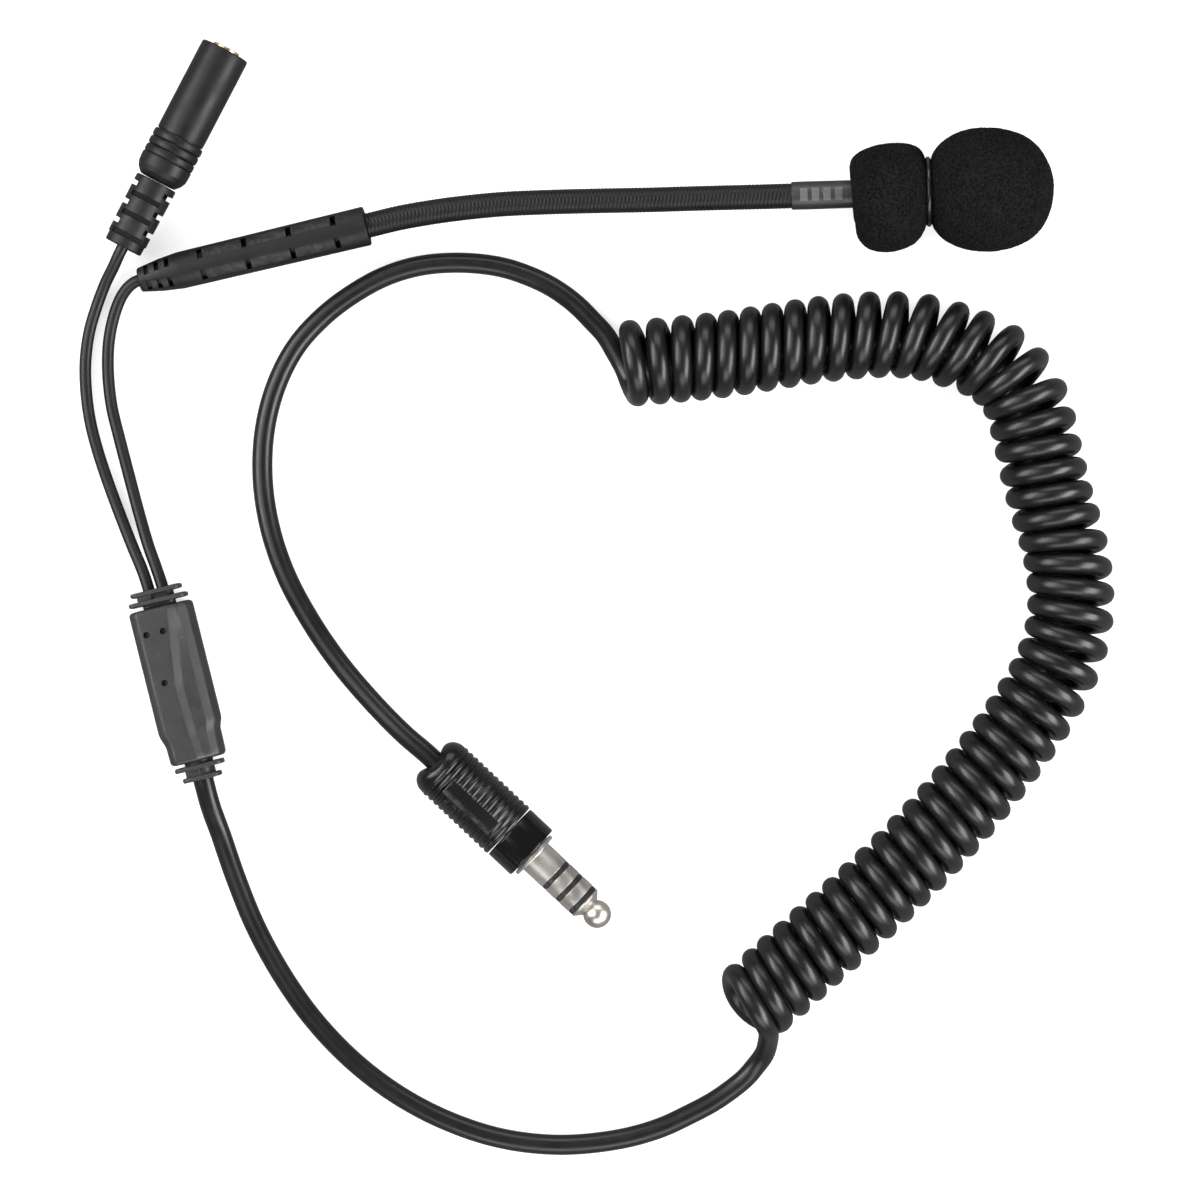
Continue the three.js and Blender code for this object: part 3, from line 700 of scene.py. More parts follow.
def own_frame(start: Point, end: Point) -> Matrix:
    """Places a sub-assembly by two points of its X axis.

    Args:
        start: its origin, in millimetres.
        end: a point further along, in millimetres.

    Returns:
        The matrix from its own millimetres to metres in the shared frame.
    """
    along = (Vector(end) - Vector(start)).normalized()
    side = UP.cross(along).normalized()
    turn = Matrix((along, side, along.cross(side))).transposed().to_4x4()
    return Matrix.Translation(Vector(start) * MM) @ turn @ Matrix.Scale(MM, 4)


def piece_from(name: str, mesh: bpy.types.Mesh) -> Piece:
    """Puts a mesh in the scene.

    Args:
        name: the piece's name.
        mesh: its mesh.

    Returns:
        The object, at the origin.
    """
    piece = bpy.data.objects.new(name, mesh)
    bpy.context.scene.collection.objects.link(piece)
    return piece


def closed_mesh(name: str, corners: list, faces: list, place: Matrix) -> Piece:
    """Makes a closed piece whose faces look outwards.

    Args:
        name: the piece's name.
        corners: its vertices in millimetres.
        faces: its faces.
        place: its own frame.

    Returns:
        The object.
    """
    mesh = bpy.data.meshes.new(name)
    mesh.from_pydata([tuple(map(float, corner)) for corner in corners], [], faces)
    mesh.transform(place)
    face_outwards(mesh)
    return piece_from(name, mesh)


def face_outwards(mesh: bpy.types.Mesh, merge: float = 1e-7) -> None:
    """Merges doubled vertices and turns every face outwards.

    Args:
        mesh: a closed mesh, in metres.
        merge: how near two vertices are when they are one.
    """
    work = bmesh.new()
    work.from_mesh(mesh)
    bmesh.ops.remove_doubles(work, verts=work.verts, dist=merge)
    bmesh.ops.dissolve_degenerate(work, edges=work.edges, dist=merge)
    bmesh.ops.recalc_face_normals(work, faces=work.faces)
    work.to_mesh(mesh)
    work.free()
    mesh.update()


def settle(piece: Piece) -> None:
    """Replaces a piece's mesh by what its modifiers make of it, and removes them.

    Args:
        piece: the object.
    """
    graph = bpy.context.evaluated_depsgraph_get()
    made = bpy.data.meshes.new_from_object(piece.evaluated_get(graph), depsgraph=graph)
    piece.modifiers.clear()
    piece.data = made
    made.name = piece.name


def carve(piece: Piece, tools: list[Piece], how: Carving = Carving.CUT) -> Piece:
    """Cuts tools from a piece, joins them to it or keeps what they share.

    Args:
        piece: the solid.
        tools: the other solids, which are removed afterwards.
        how: which of the three.

    Returns:
        The piece.
    """
    for tool in tools:
        modifier = piece.modifiers.new("carve", "BOOLEAN")
        modifier.object, modifier.operation, modifier.solver = tool, how.value, "EXACT"
    settle(piece)
    for tool in tools:
        bpy.data.objects.remove(tool)
    face_outwards(piece.data, SEAM_MERGE)
    return piece


def filleted(outline: Profile, steps: int = 4, looped: bool = False) -> list[tuple[float, float]]:
    """Rounds the corners of a flat outline.

    Args:
        outline: its points; a third number rounds that corner to that radius.
        steps: how many steps a rounded corner has.
        looped: whether the last point joins the first.

    Returns:
        The outline's points with the rounded corners.
    """
    made = []
    count = len(outline)
    for place, item in enumerate(outline):
        corner = Vector(item[:2])
        radius = item[2] if len(item) > 2 else 0.0
        if radius <= 0 or (not looped and place in (0, count - 1)):
            made.append(tuple(corner))
            continue
        back = Vector(outline[place - 1][:2]) - corner
        on = Vector(outline[(place + 1) % count][:2]) - corner
        half = back.angle(on) / 2
        reach = min(radius / math.tan(half), 0.48 * back.length, 0.48 * on.length)
        first, last = corner + back.normalized() * reach, corner + on.normalized() * reach
        for step in range(steps + 1):
            share = step / steps
            point = first * (1 - share) ** 2 + corner * (2 * share * (1 - share)) + last * share**2
            made.append(tuple(point))
    return made


def turned(name: str, profile: Profile, place: Matrix, sides: int = 96) -> Piece:
    """Turns a closed solid about its X axis.

    Args:
        name: the piece's name.
        profile: (x, radius) points forwards along the outside, with a corner radius where a
            corner is rounded; it starts and ends on the axis, or comes back along a bore.
        place: its own frame.
        sides: how many sides it has.

    Returns:
        The object.
    """
    outline = filleted(profile)
    corners, rows = [], []
    for x, radius in outline:
        count = sides if radius > 1e-6 else 1
        rows.append(range(len(corners), len(corners) + count))
        for side in range(count):
            angle = 2 * math.pi * side / sides
            corners.append((x, radius * math.cos(angle), radius * math.sin(angle)))
    pairs = list(zip(rows, rows[1:]))
    if outline[0][1] > 1e-6:
        pairs.append((rows[-1], rows[0]))
    faces = []
    for first, second in pairs:
        for side in range(sides):
            after = (side + 1) % sides
            ring = [first[side % len(first)], first[after % len(first)],
                    second[after % len(second)], second[side % len(second)]]
            ring = list(dict.fromkeys(ring))
            if len(ring) > 2:
                faces.append(ring)
    return closed_mesh(name, corners, faces, place)


def lofted(name: str, loops: list[list[Point]], place: Matrix) -> Piece:
    """Joins loops of equal length into a closed solid with flat ends.

    Args:
        name: the piece's name.
        loops: rings of points in millimetres.
        place: its own frame.

    Returns:
        The object.
    """
    count = len(loops[0])
    faces = [list(range(count)), [len(loops) * count - 1 - step for step in range(count)]]
    for row in range(len(loops) - 1):
        for step in range(count):
            after = (step + 1) % count
            low, high = row * count, (row + 1) * count
            faces.append([low + step, low + after, high + after, high + step])
    return closed_mesh(name, [point for loop in loops for point in loop], faces, place)


def slab(name: str, start: float, end: float, outline: Profile, edge: float,
         place: Matrix) -> Piece:
    """Makes a plate across X with rounded edges.

    Args:
        name: the piece's name.
        start: where it begins along X.
        end: where it ends.
        outline: its (y, z) corners, each with a corner radius where it is rounded.
        edge: the radius of its front and back edges.
        place: its own frame.

    Returns:
        The object.
    """
    flat = np.array(filleted(outline, 6, looped=True))
    reach = np.abs(flat).max(axis=0)
    loops = [(start + edge * (1 - math.sin(angle)), edge * (1 - math.cos(angle)))
             for angle in np.linspace(0, math.pi / 2, 4)][::-1]
    loops += [(start + end - x, inset) for x, inset in loops[::-1]]
    rings = []
    for x, inset in loops:
        ring = flat * (1 - inset / reach)
        rings.append([(x, y, z) for y, z in ring])
    return lofted(name, rings, place)


def block(name: str, size: Point, centre: Point, place: Matrix, bevel: float = 0.0) -> Piece:
    """Makes a cutting or joining block.

    Args:
        name: the piece's name.
        size: its length, width and height.
        centre: its middle.
        place: its own frame.
        bevel: the radius of its edges.

    Returns:
        The object.
    """
    half = [value / 2 for value in size]
    corners = [(half[1] * y, half[2] * z, bevel * 1.2) for y,
               z in ((-1, -1), (1, -1), (1, 1), (-1, 1))]
    made = slab(name, -half[0], half[0], corners, bevel, Matrix.Translation(centre))
    made.data.transform(place)
    return made


def drill(start: float, end: float, radius: float, place: Matrix, sides: int = 48) -> Piece:
    """Makes a cylinder along X for cutting a bore.

    Args:
        start: where it begins along X.
        end: where it ends.
        radius: its radius.
        place: its own frame.
        sides: how many sides it has.

    Returns:
        The object.
    """
    profile = [(start, 0), (start, radius), (end, radius), (end, 0)]
    return turned("bore", profile, place, sides)


def upright(radius: float, height: float, centre: Point, place: Matrix) -> Piece:
    """Makes a cylinder whose axis is the frame's Z axis.

    Args:
        radius: its radius.
        height: its height.
        centre: its middle.
        place: its own frame.

    Returns:
        The object.
    """
    stand = Matrix.Translation(centre) @ Matrix.Rotation(-math.pi / 2, 4, "Y")
    return drill(-height / 2, height / 2, radius, place @ stand)


CURVE_SPANS = (((0, 1), (1, 2), (2, 3)), ((0, 2), (1, 3)), ((1, 2),))


def smooth_route(route: np.ndarray, spacing: float) -> np.ndarray:
    """Runs a smooth centripetal curve through a route's points.

    Args:
        route: the points, in order.
        spacing: the distance between the points of the result.

    Returns:
        Evenly spaced points from the first to the last.
    """
    points = np.vstack([2 * route[0] - route[1], route, 2 * route[-1] - route[-2]])
    fine = []
    for place in range(1, len(points) - 2):
        four = points[place - 1:place + 3]
        knots = np.concatenate([[0],
                                np.cumsum(np.sqrt(np.linalg.norm(np.diff(four, axis=0), axis=1)))])
        steps = max(4, int(np.linalg.norm(four[2] - four[1]) / spacing * 4))
        for moment in np.linspace(knots[1], knots[2], steps, endpoint=False):
            layer = list(four)
            for spans in CURVE_SPANS:
                layer = [(layer[i] * (knots[b] - moment) + layer[i + 1] * (moment - knots[a]))
                         / (knots[b] - knots[a]) for i, (a, b) in enumerate(spans)]
            fine.append(layer[0])
    fine.append(points[-2])
    return evenly(np.array(fine), spacing)


def evenly(points: np.ndarray, spacing: float) -> np.ndarray:
    """Spaces a line's points evenly.

    Args:
        points: the line.
        spacing: the distance between the new points.

    Returns:
        The new points.
    """
    along = np.concatenate([[0], np.cumsum(np.linalg.norm(np.diff(points, axis=0), axis=1))])
    places = np.linspace(0, along[-1], max(2, round(along[-1] / spacing) + 1))
    return np.column_stack([np.interp(places, along, points[:, axis]) for axis in range(3)])


def dress(piece: Piece, finish: Finish) -> None:
    """Gives a piece its finish and smooth faces with crisp edges.

    Args:
        piece: the object.
        finish: its finish.
    """
    mesh = piece.data
    mesh.materials.clear()
    mesh.materials.append(finish.material())
    mesh.shade_smooth()
    mesh.set_sharp_from_angle(angle=SHARP_ANGLE)


def install(piece: Piece, finish: Finish, body: Body, *stands_for: str) -> Piece:
    """Dresses a piece, sets it on its body and hides the CAD nodes that it stands for.

    Args:
        piece: the object.
        finish: its finish.
        body: the body that it rides on.
        stands_for: names of CAD nodes.

    Returns:
        The piece.
    """
    dress(piece, finish)
    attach(piece, body.value)
    if stands_for:
        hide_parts(*stands_for)
    LOG.info("%s: %d vertices on %s", piece.name, len(piece.data.vertices), body.value)
    return piece


# ------------------------------------------------------------------ grown shapes


class Growth(Enum):
    """Geometry trees for what repeats or follows a path."""

    TUBE = "ribbed_tube"
    WINDOWS = "window_rows"
    FOAM = "open_cells"

    def tree(self) -> NodeTree:
        """Returns the growth's tree, made on first use."""
        made = bpy.data.node_groups.get(self.value)
        return made or getattr(self, f"_{self.name.lower()}")()

    def grow(self, name: str, seed: bpy.types.Mesh, finish: Finish, **sizes: float) -> Piece:
        """Runs the tree on a mesh and keeps the result as a plain mesh.

        Args:
            name: the new piece's name.
            seed: the mesh that it starts from.
            finish: what it is made of.
            sizes: the tree's inputs, with an underscore for each space in a name.

        Returns:
            The object, with no modifier left on it.
        """
        piece = piece_from(name, seed)
        modifier = piece.modifiers.new("grow", "NODES")
        modifier.node_group = self.tree()
        sockets = {item.name: item.identifier for item in self.tree().interface.items_tree
                   if item.in_out == "INPUT"}
        modifier[sockets["Material"]] = finish.material()
        for label, value in sizes.items():
            modifier[sockets[label.replace("_", " ")]] = value
        settle(piece)
        return piece

    def _start(self, inputs: dict[str, tuple]) -> Tree:
        """Starts a geometry tree.

        Args:
            inputs: its inputs besides the geometry and the material.

        Returns:
            The tree.
        """
        sockets = {"Geometry": ("NodeSocketGeometry", None), **inputs,
                   "Material": ("NodeSocketMaterial", None)}
        return Tree.group(self.value, "GeometryNodeTree", sockets,
                          {"Geometry": "NodeSocketGeometry"})

    @staticmethod
    def _finish(tree: Tree, geometry: NodeSocket) -> NodeTree:
        """Ends a tree in Realize Instances and Set Material.

        Args:
            tree: the tree.
            geometry: what it has made.

        Returns:
            The finished node group.
        """
        real = tree.add("GeometryNodeRealizeInstances", {0: geometry})
        coated = tree.add("GeometryNodeSetMaterial",
                          {0: real.outputs[0], "Material": tree.source["Material"]})
        tree.feed(tree.sink["Geometry"], coated.outputs[0])
        return tree.tree

    def _tube(self) -> NodeTree:
        """A round tube along a line of edges, with ribs round it where they have a depth.

        Returns:
            The finished tree.
        """
        tree = self._start({
            "Radius": ("NodeSocketFloat", 0.002), "Rib Depth": ("NodeSocketFloat", 0.0),
            "Rib Pitch": ("NodeSocketFloat", 0.001), "Rib Sharpness": ("NodeSocketFloat", 1.0),
            "Sides": ("NodeSocketInt", 24)})
        line = tree.add("GeometryNodeMeshToCurve", {"Mesh": tree.source["Geometry"]})
        along = tree.add("GeometryNodeSplineParameter").outputs["Length"]
        turns = tree.math("MULTIPLY", tree.math("DIVIDE", along, tree.source["Rib Pitch"]),
                          math.pi)
        crest = tree.math("POWER", tree.math("ABSOLUTE", tree.math("SINE", turns)),
                          tree.source["Rib Sharpness"])
        hollow = tree.math("MULTIPLY", tree.math("SUBTRACT", 1.0, crest), tree.source["Rib Depth"])
        radius = tree.math("SUBTRACT", tree.source["Radius"], hollow)
        ring = tree.add("GeometryNodeCurvePrimitiveCircle",
                        {"Resolution": tree.source["Sides"], "Radius": 1.0})
        tube = tree.add("GeometryNodeCurveToMesh", {
            "Curve": line.outputs[0], "Profile Curve": ring.outputs[0], "Scale": radius,
            "Fill Caps": True})
        return self._finish(tree, tube.outputs[0])

    def _windows(self) -> NodeTree:
        """Blocks in rows round a sleeve, for cutting its windows.

        Returns:
            The finished tree.
        """
        tree = self._start({
            "First": ("NodeSocketFloat", 0.0), "Pitch": ("NodeSocketFloat", 1.0),
            "Count": ("NodeSocketInt", 4), "Row Start": ("NodeSocketFloat", 0.0),
            "Row Step": ("NodeSocketFloat", 180.0), "Rows": ("NodeSocketInt", 2),
            "Length": ("NodeSocketFloat", 1.0), "Width": ("NodeSocketFloat", 2.0),
            "Depth": ("NodeSocketFloat", 2.0), "Reach": ("NodeSocketFloat", 3.0)})
        source = tree.source
        size = tree.add("ShaderNodeCombineXYZ",
                        {0: source["Length"], 1: source["Width"], 2: source["Depth"]})
        cutter = tree.add("GeometryNodeMeshCube", {"Size": size.outputs[0]})
        start = tree.add("ShaderNodeCombineXYZ", {0: source["First"], 2: source["Reach"]})
        step = tree.add("ShaderNodeCombineXYZ", {0: source["Pitch"]})
        line = tree.add("GeometryNodeMeshLine", {
            "Count": source["Count"], "Start Location": start.outputs[0],
            "Offset": step.outputs[0]}, mode="OFFSET")
        row = tree.add("GeometryNodeInstanceOnPoints",
                       {"Points": line.outputs[0], "Instance": cutter.outputs[0]})
        hubs = tree.add("GeometryNodeMeshLine",
                        {"Count": source["Rows"], "Offset": (0.0, 0.0, 0.0)}, mode="OFFSET")
        index = tree.add("GeometryNodeInputIndex").outputs[0]
        degrees = tree.math("ADD", source["Row Start"],
                            tree.math("MULTIPLY", index, source["Row Step"]))
        tilt = tree.add("ShaderNodeCombineXYZ", {0: tree.math("RADIANS", degrees)})
        rows = tree.add("GeometryNodeInstanceOnPoints", {
            "Points": hubs.outputs[0], "Instance": row.outputs[0], "Rotation": tilt.outputs[0]})
        return self._finish(tree, rows.outputs[0])

    def _foam(self) -> NodeTree:
        """Sinks a pit at each open cell of a foam skin; the skin attribute says how deep.

        Returns:
            The finished tree.
        """
        tree = self._start({"Cell": ("NodeSocketFloat", 0.0006),
                            "Depth": ("NodeSocketFloat", 0.0002),
                            "Floor": ("NodeSocketFloat", 0.00003)})
        position = tree.add("GeometryNodeInputPosition").outputs[0]
        scale = tree.math("DIVIDE", 1.0, tree.source["Cell"])
        cells = tree.cells(position, scale).outputs["Distance"]
        pit = tree.ramp(cells, 0.1, 0.55, 1.0, 0.0)
        torn = tree.noise(position, tree.math("MULTIPLY", scale, 0.45), 3.0)
        waves = tree.math("MULTIPLY", tree.noise(position, 160.0, 2.0), 0.5)
        depth = tree.math("ADD", tree.math("ADD", pit, tree.math("MULTIPLY", torn, 0.9)), waves)
        skin = tree.add("GeometryNodeInputNamedAttribute", {"Name": "skin"}, data_type="FLOAT")
        sink = tree.math("MULTIPLY", tree.math("MULTIPLY", depth, tree.source["Depth"]),
                         skin.outputs["Attribute"])
        offset = tree.vector("SCALE", tree.add("GeometryNodeInputNormal").outputs[0],
                             {"Scale": tree.math("MULTIPLY", sink, -1.0)})
        moved = tree.vector("ADD", position, offset)
        resting = tree.vector("MAXIMUM", moved, tree.add(
            "ShaderNodeCombineXYZ", {0: -1.0, 1: -1.0, 2: tree.source["Floor"]}).outputs[0])
        sunk = tree.add("GeometryNodeSetPosition",
                        {"Geometry": tree.source["Geometry"], "Position": resting})
        return self._finish(tree, sunk.outputs[0])


def line_mesh(name: str, points: np.ndarray) -> bpy.types.Mesh:
    """Makes a line of edges for a tube to follow.

    Args:
        name: the mesh's name.
        points: the line, in metres.

    Returns:
        The mesh.
    """
    mesh = bpy.data.meshes.new(name)
    mesh.from_pydata([tuple(point) for point in points],
                     [(i, i + 1) for i in range(len(points) - 1)], [])
    return mesh


def tube(name: str, points: np.ndarray, radius: float, finish: Finish, sides: int = 24,
         **ribs: float) -> Piece:
    """Grows a tube along a line.

    Args:
        name: the piece's name.
        points: the line, in metres.
        radius: its radius, in metres.
        finish: what it is made of.
        sides: how many sides it has.
        ribs: rib sizes of the ribbed_tube tree.

    Returns:
        The object.
    """
    piece = Growth.TUBE.grow(name, line_mesh(name, points), finish, Radius=radius, Sides=sides,
                             **ribs)
    face_outwards(piece.data)
    return piece


def window_cutter(place: Matrix, finish: Finish, **sizes: float) -> Piece:
    """Makes the blocks that cut rows of windows round a sleeve.

    Args:
        place: the sleeve's own frame.
        finish: the sleeve's finish.
        sizes: inputs of the window_rows tree.

    Returns:
        The cutter.
    """
    cutter = Growth.WINDOWS.grow("window_cutter", bpy.data.meshes.new("rows"), finish, **sizes)
    face_outwards(cutter.data, CUTTER_MERGE)
    cutter.data.transform(place)
    return cutter


# ------------------------------------------------------------------ sub-assemblies


@dataclass
class Studio:
    """A pale table, soft lights on all four sides and above, and a camera straight above."""

    table_size: float = 3.0
    camera_at: Point = (0.0008, -0.0781, 0.9)
    sensor: float = 36.0
    lens: float = 134.4
    sky: float = 0.22
    box_size: tuple[float, float] = (0.9, 0.5)
    boxes: tuple = (
        ("right", (0.78, -0.28, 0.56), 17.0), ("left", (-0.8, 0.22, 0.56), 12.0),
        ("far", (0.1, 0.85, 0.5), 4.5), ("near", (0.05, -0.85, 0.55), 6.0),
        ("above", (-0.55, 0.12, 1.1), 4.0))
    table_glow: float = 0.62
    table_level: float = 0.5
    reflected_level: float = 0.2

    def camera(self) -> None:
        """Looks straight down on the set."""
        data = bpy.data.cameras.new("overhead_camera")
        data.sensor_width, data.lens = self.sensor, self.lens
        camera = bpy.data.objects.new("overhead_camera", data)
        camera.location = self.camera_at
        bpy.context.scene.collection.objects.link(camera)
        bpy.context.scene.camera = camera

    def table(self) -> None:
        """Lays the pale table under the set."""
        half = self.table_size / 2
        mesh = bpy.data.meshes.new("table")
        mesh.from_pydata([(-half, -half, 0), (half, -half, 0), (half, half, 0), (-half, half, 0)],
                         [], [(0, 1, 2, 3)])
        material = bpy.data.materials.new("table_white")
        material.use_nodes = True
        tree = Tree(material.node_tree)
        shader = tree.tree.nodes["Principled BSDF"].inputs
        seen = tree.add("ShaderNodeLightPath").outputs["Is Camera Ray"]
        tree.feed(shader["Base Color"],
                  tree.mix(seen, shade(self.reflected_level), shade(self.table_level)))
        shader["Roughness"].default_value = 0.9
        shader["Specular IOR Level"].default_value = 0.1
        shader["Emission Color"].default_value = shade(1.0)
        tree.feed(shader["Emission Strength"], tree.math("MULTIPLY", seen, self.table_glow))
        mesh.materials.append(material)
        piece_from("table", mesh)

    def lights(self) -> None:
        """Hangs the soft boxes and sets a dim even sky."""
        middle = Vector((0.0, -0.08, 0.0))
        for label, place, power in self.boxes:
            data = bpy.data.lights.new(f"{label}_softbox", "AREA")
            data.shape, data.energy = "RECTANGLE", power
            data.size, data.size_y = self.box_size
            lamp = bpy.data.objects.new(f"{label}_softbox", data)
            lamp.location = middle + Vector(place)
            lamp.rotation_euler = (-Vector(place)).to_track_quat("-Z", "Y").to_euler()
            lamp.visible_camera = False
            bpy.context.scene.collection.objects.link(lamp)
        world = bpy.data.worlds.new("studio")
        world.use_nodes = True
        background = world.node_tree.nodes["Background"].inputs
        background["Color"].default_value = (1.0, 1.0, 1.0, 1.0)
        background["Strength"].default_value = self.sky
        bpy.context.scene.world = world
        bpy.context.scene.view_settings.view_transform = "Standard"
        bpy.context.scene.view_settings.look = "None"


@dataclass
class Cords:
    """The two thin leads and the long coiled cord.

    The routes of the leads are metres. The coil's sizes, route, pitches and leans are
    millimetres, and the places of its tables run along its route from the plug's end.
    """

    thin_radius: float = 1.2 * MM
    main_radius: float = 2.05 * MM
    coil_axis_radius: float = 6.65
    coil_height: float = 8.85
    crests: int = 49
    crest_span: float = 228.1
    coil_from: float = 205.0
    coil_to: float = 20.0
    steps_per_turn: int = 26
    last_turn_swing: float = 4.2
    swing_reach: float = 0.35
    run_on: int = 12
    phone_route: tuple = (
        (-0.0937, -0.0061, 0.00535), (-0.0952, -0.0089, 0.0052), (-0.0964, -0.0113, 0.0042),
        (-0.0982, -0.0145, 0.0026),
        (-0.1, -0.0188, 0.0015), (-0.1016, -0.0241, 0.00125), (-0.1024, -0.03, 0.00125),
        (-0.1023, -0.036, 0.00125), (-0.1015, -0.0421, 0.00125), (-0.0999, -0.0484, 0.00125),
        (-0.0977, -0.055, 0.0013), (-0.0952, -0.0616, 0.0018), (-0.0926, -0.0679, 0.003),
        (-0.0907, -0.0722, 0.0041), (-0.0894, -0.076, 0.0046),
        (-0.08883, -0.07813, 0.00465), (-0.08831, -0.08021, 0.00465))
    mic_route: tuple = (
        (-0.0895, -0.01365, 0.0035), (-0.092, -0.0143, 0.00335), (-0.0935, -0.0153, 0.0029),
        (-0.0951, -0.0173, 0.0022),
        (-0.0966, -0.0209, 0.0015), (-0.0977, -0.0261, 0.00125), (-0.0979, -0.032, 0.00125),
        (-0.0972, -0.039, 0.00125), (-0.0954, -0.0465, 0.00125), (-0.0935, -0.0538, 0.0013),
        (-0.0916, -0.0608, 0.0018), (-0.0896, -0.0673, 0.003), (-0.0879, -0.0718, 0.0041),
        (-0.0867, -0.0753, 0.0046), (-0.08613, -0.0776, 0.00465), (-0.08565, -0.07955, 0.00465))
    lower_route: tuple = (
        (-0.0793, -0.1107, 0.00465), (-0.07835, -0.1145, 0.0046), (-0.0771, -0.1194, 0.0038),
        (-0.0752, -0.125, 0.0025),
        (-0.0722, -0.1338, 0.0021), (-0.0683, -0.1434, 0.0021), (-0.0632, -0.1528, 0.0021),
        (-0.057, -0.1617, 0.0021), (-0.0492, -0.17, 0.0021), (-0.04, -0.1771, 0.0021),
        (-0.03, -0.1824, 0.0021), (-0.019, -0.186, 0.0021), (-0.0072, -0.1873, 0.0021),
        (0.0045, -0.1862, 0.0021), (0.0126, -0.184, 0.0021), (0.01895, -0.1811, 0.0021),
        (0.02345, -0.1787, 0.0021), (0.02705, -0.17625, 0.0021), (0.02995, -0.17385, 0.0023),
        (0.032, -0.17135, 0.003), (0.03365, -0.1688, 0.0047), (0.03425, -0.1661, 0.0075))
    upper_route: tuple = (
        (0.0069, -0.0349, 0.0034), (0.00575, -0.0318, 0.0023), (0.0038, -0.0282, 0.0021),
        (0.0018, -0.0249, 0.0021), (-0.0006, -0.0223, 0.0021), (-0.0042, -0.0187, 0.0021),
        (-0.0088, -0.0154, 0.0021),
        (-0.0136, -0.0131, 0.0021), (-0.0194, -0.0113, 0.0021), (-0.0273, -0.0105, 0.0021),
        (-0.0352, -0.0111, 0.0021), (-0.0422, -0.0132, 0.0021), (-0.0488, -0.0168, 0.0021),
        (-0.0548, -0.0214, 0.0021), (-0.0601, -0.0273, 0.0021), (-0.0641, -0.0351, 0.0021),
        (-0.0664, -0.0441, 0.0021), (-0.0668, -0.054, 0.0021), (-0.0653, -0.0638, 0.0021),
        (-0.0621, -0.0732, 0.0021), (-0.0574, -0.082, 0.0022), (-0.0515, -0.0906, 0.0029),
        (-0.0446, -0.0986, 0.0044), (-0.0383, -0.1049, 0.0059), (-0.0336, -0.1089, 0.00635),
        (-0.02936, -0.11293, 0.00635))
    coil_route: tuple = (
        (7.5, -31), (16.5, -30.2), (25, -29.3), (33, -28.1), (41, -26.8), (49, -25.8), (57, -25.3),
        (65, -25.8), (72.5, -27.9), (79.5, -31), (84.4, -36.2), (86.9, -43), (88.5, -50.4),
        (90.5, -58.4),
        (92.9, -66.3), (94.3, -74.4), (94.2, -82.3), (92.2, -90), (88.5, -97.4), (83.7, -104.7),
        (78.3, -111.8), (72.6, -118.8), (66.6, -125.5), (60.4, -131.8), (54.1, -137.8),
        (48, -143.3),
        (42.2, -148.4), (36.4, -153.6), (31.2, -158.1))
    pitch_by_place: tuple = (
        (0, 4.9), (6, 4.75), (12, 4.4), (33, 4.5), (40, 4.75), (50, 5.1), (60, 5.2), (70, 5.35),
        (80, 5.6),
        (86, 5.2), (92, 4.8), (100, 4.7), (112, 4.75), (124, 4.85), (130, 5.4), (140, 5.2),
        (148, 4.8),
        (157, 4.62), (175, 4.6), (190, 4.5), (198, 4.6), (212, 4.5), (219, 4.3), (228, 3.8))
    lean_by_place: tuple = (
        (0, -0.8), (5, 0.6), (9.5, 1.6), (14, 2.6), (23, 3.3), (36, 3.2), (46, 3.4), (56, 4.0),
        (62, 4.4),
        (67, 4.0), (72, 3.4), (77, 2.2), (83, 0.8), (93, 1.0), (98, 1.4), (103, 2.2), (112, 3.2),
        (117, 3.6),
        (122, 3.0), (127, 2.4), (133, 1.6), (138, 1.0), (145, 1.6), (157, 2.0), (171, 2.7),
        (185, 2.4),
        (194, 1.8), (203, 2.2), (212, 2.8), (226, 3.3))
    table_smoothing: float = 2.5

    def _table(self, rows: tuple, places: np.ndarray) -> np.ndarray:
        """Reads a table smoothly.

        Args:
            rows: pairs of place and value.
            places: evenly spaced places.

        Returns:
            The value at each place.
        """
        plain = np.interp(places, *np.array(rows, float).T)
        spread = self.table_smoothing / (places[1] - places[0])
        reach = int(3 * spread)
        weights = np.exp(-0.5 * (np.arange(-reach, reach + 1) / spread) ** 2)
        padded = np.pad(plain, reach, mode="edge")
        return np.convolve(padded, weights / weights.sum(), mode="valid")

    def coil(self) -> np.ndarray:
        """Winds the coil round its route.

        Returns:
            The strand's centre line, in metres, from the junction's end to the plug's end.
        """
        height = np.full((len(self.coil_route), 1), self.coil_height)
        axis = smooth_route(np.hstack([np.array(self.coil_route, float), height]), 0.5)
        ahead, behind = axis[-1] - axis[-2], axis[0] - axis[1]
        axis = np.vstack([axis[0] + behind * self.run_on, axis, axis[-1] + ahead * self.run_on])
        steps = np.linalg.norm(np.diff(axis, axis=0), axis=1)
        places = np.concatenate([[0], np.cumsum(steps)]) - steps[0]
        crest_places = np.linspace(0, self.crest_span, int(self.crest_span * 2))
        pitch = self._table(self.pitch_by_place, crest_places)
        crest = np.concatenate([[0], np.cumsum(1 / pitch[:-1])])
        crest *= (self.crests - 1) / crest[-1]
        first, last = (90 - self.coil_from) / 360, self.crests - 1 + (90 - self.coil_to) / 360
        turn = np.linspace(first, last, int((last - first) * self.steps_per_turn))
        spot = np.interp(turn, crest, crest_places)
        spot += np.minimum(turn, 0) * pitch[0] + np.maximum(turn - crest[-1], 0) * pitch[-1]
        angle = np.radians(90 - 360 * turn)
        lean = np.interp(spot, crest_places,
                         self._table(self.lean_by_place, crest_places) - pitch / 2)
        bottom = crest[-1] - 0.5
        reach = self.swing_reach
        swing = np.cos(np.clip(turn - bottom, -reach, reach) / reach * math.pi / 2) ** 2
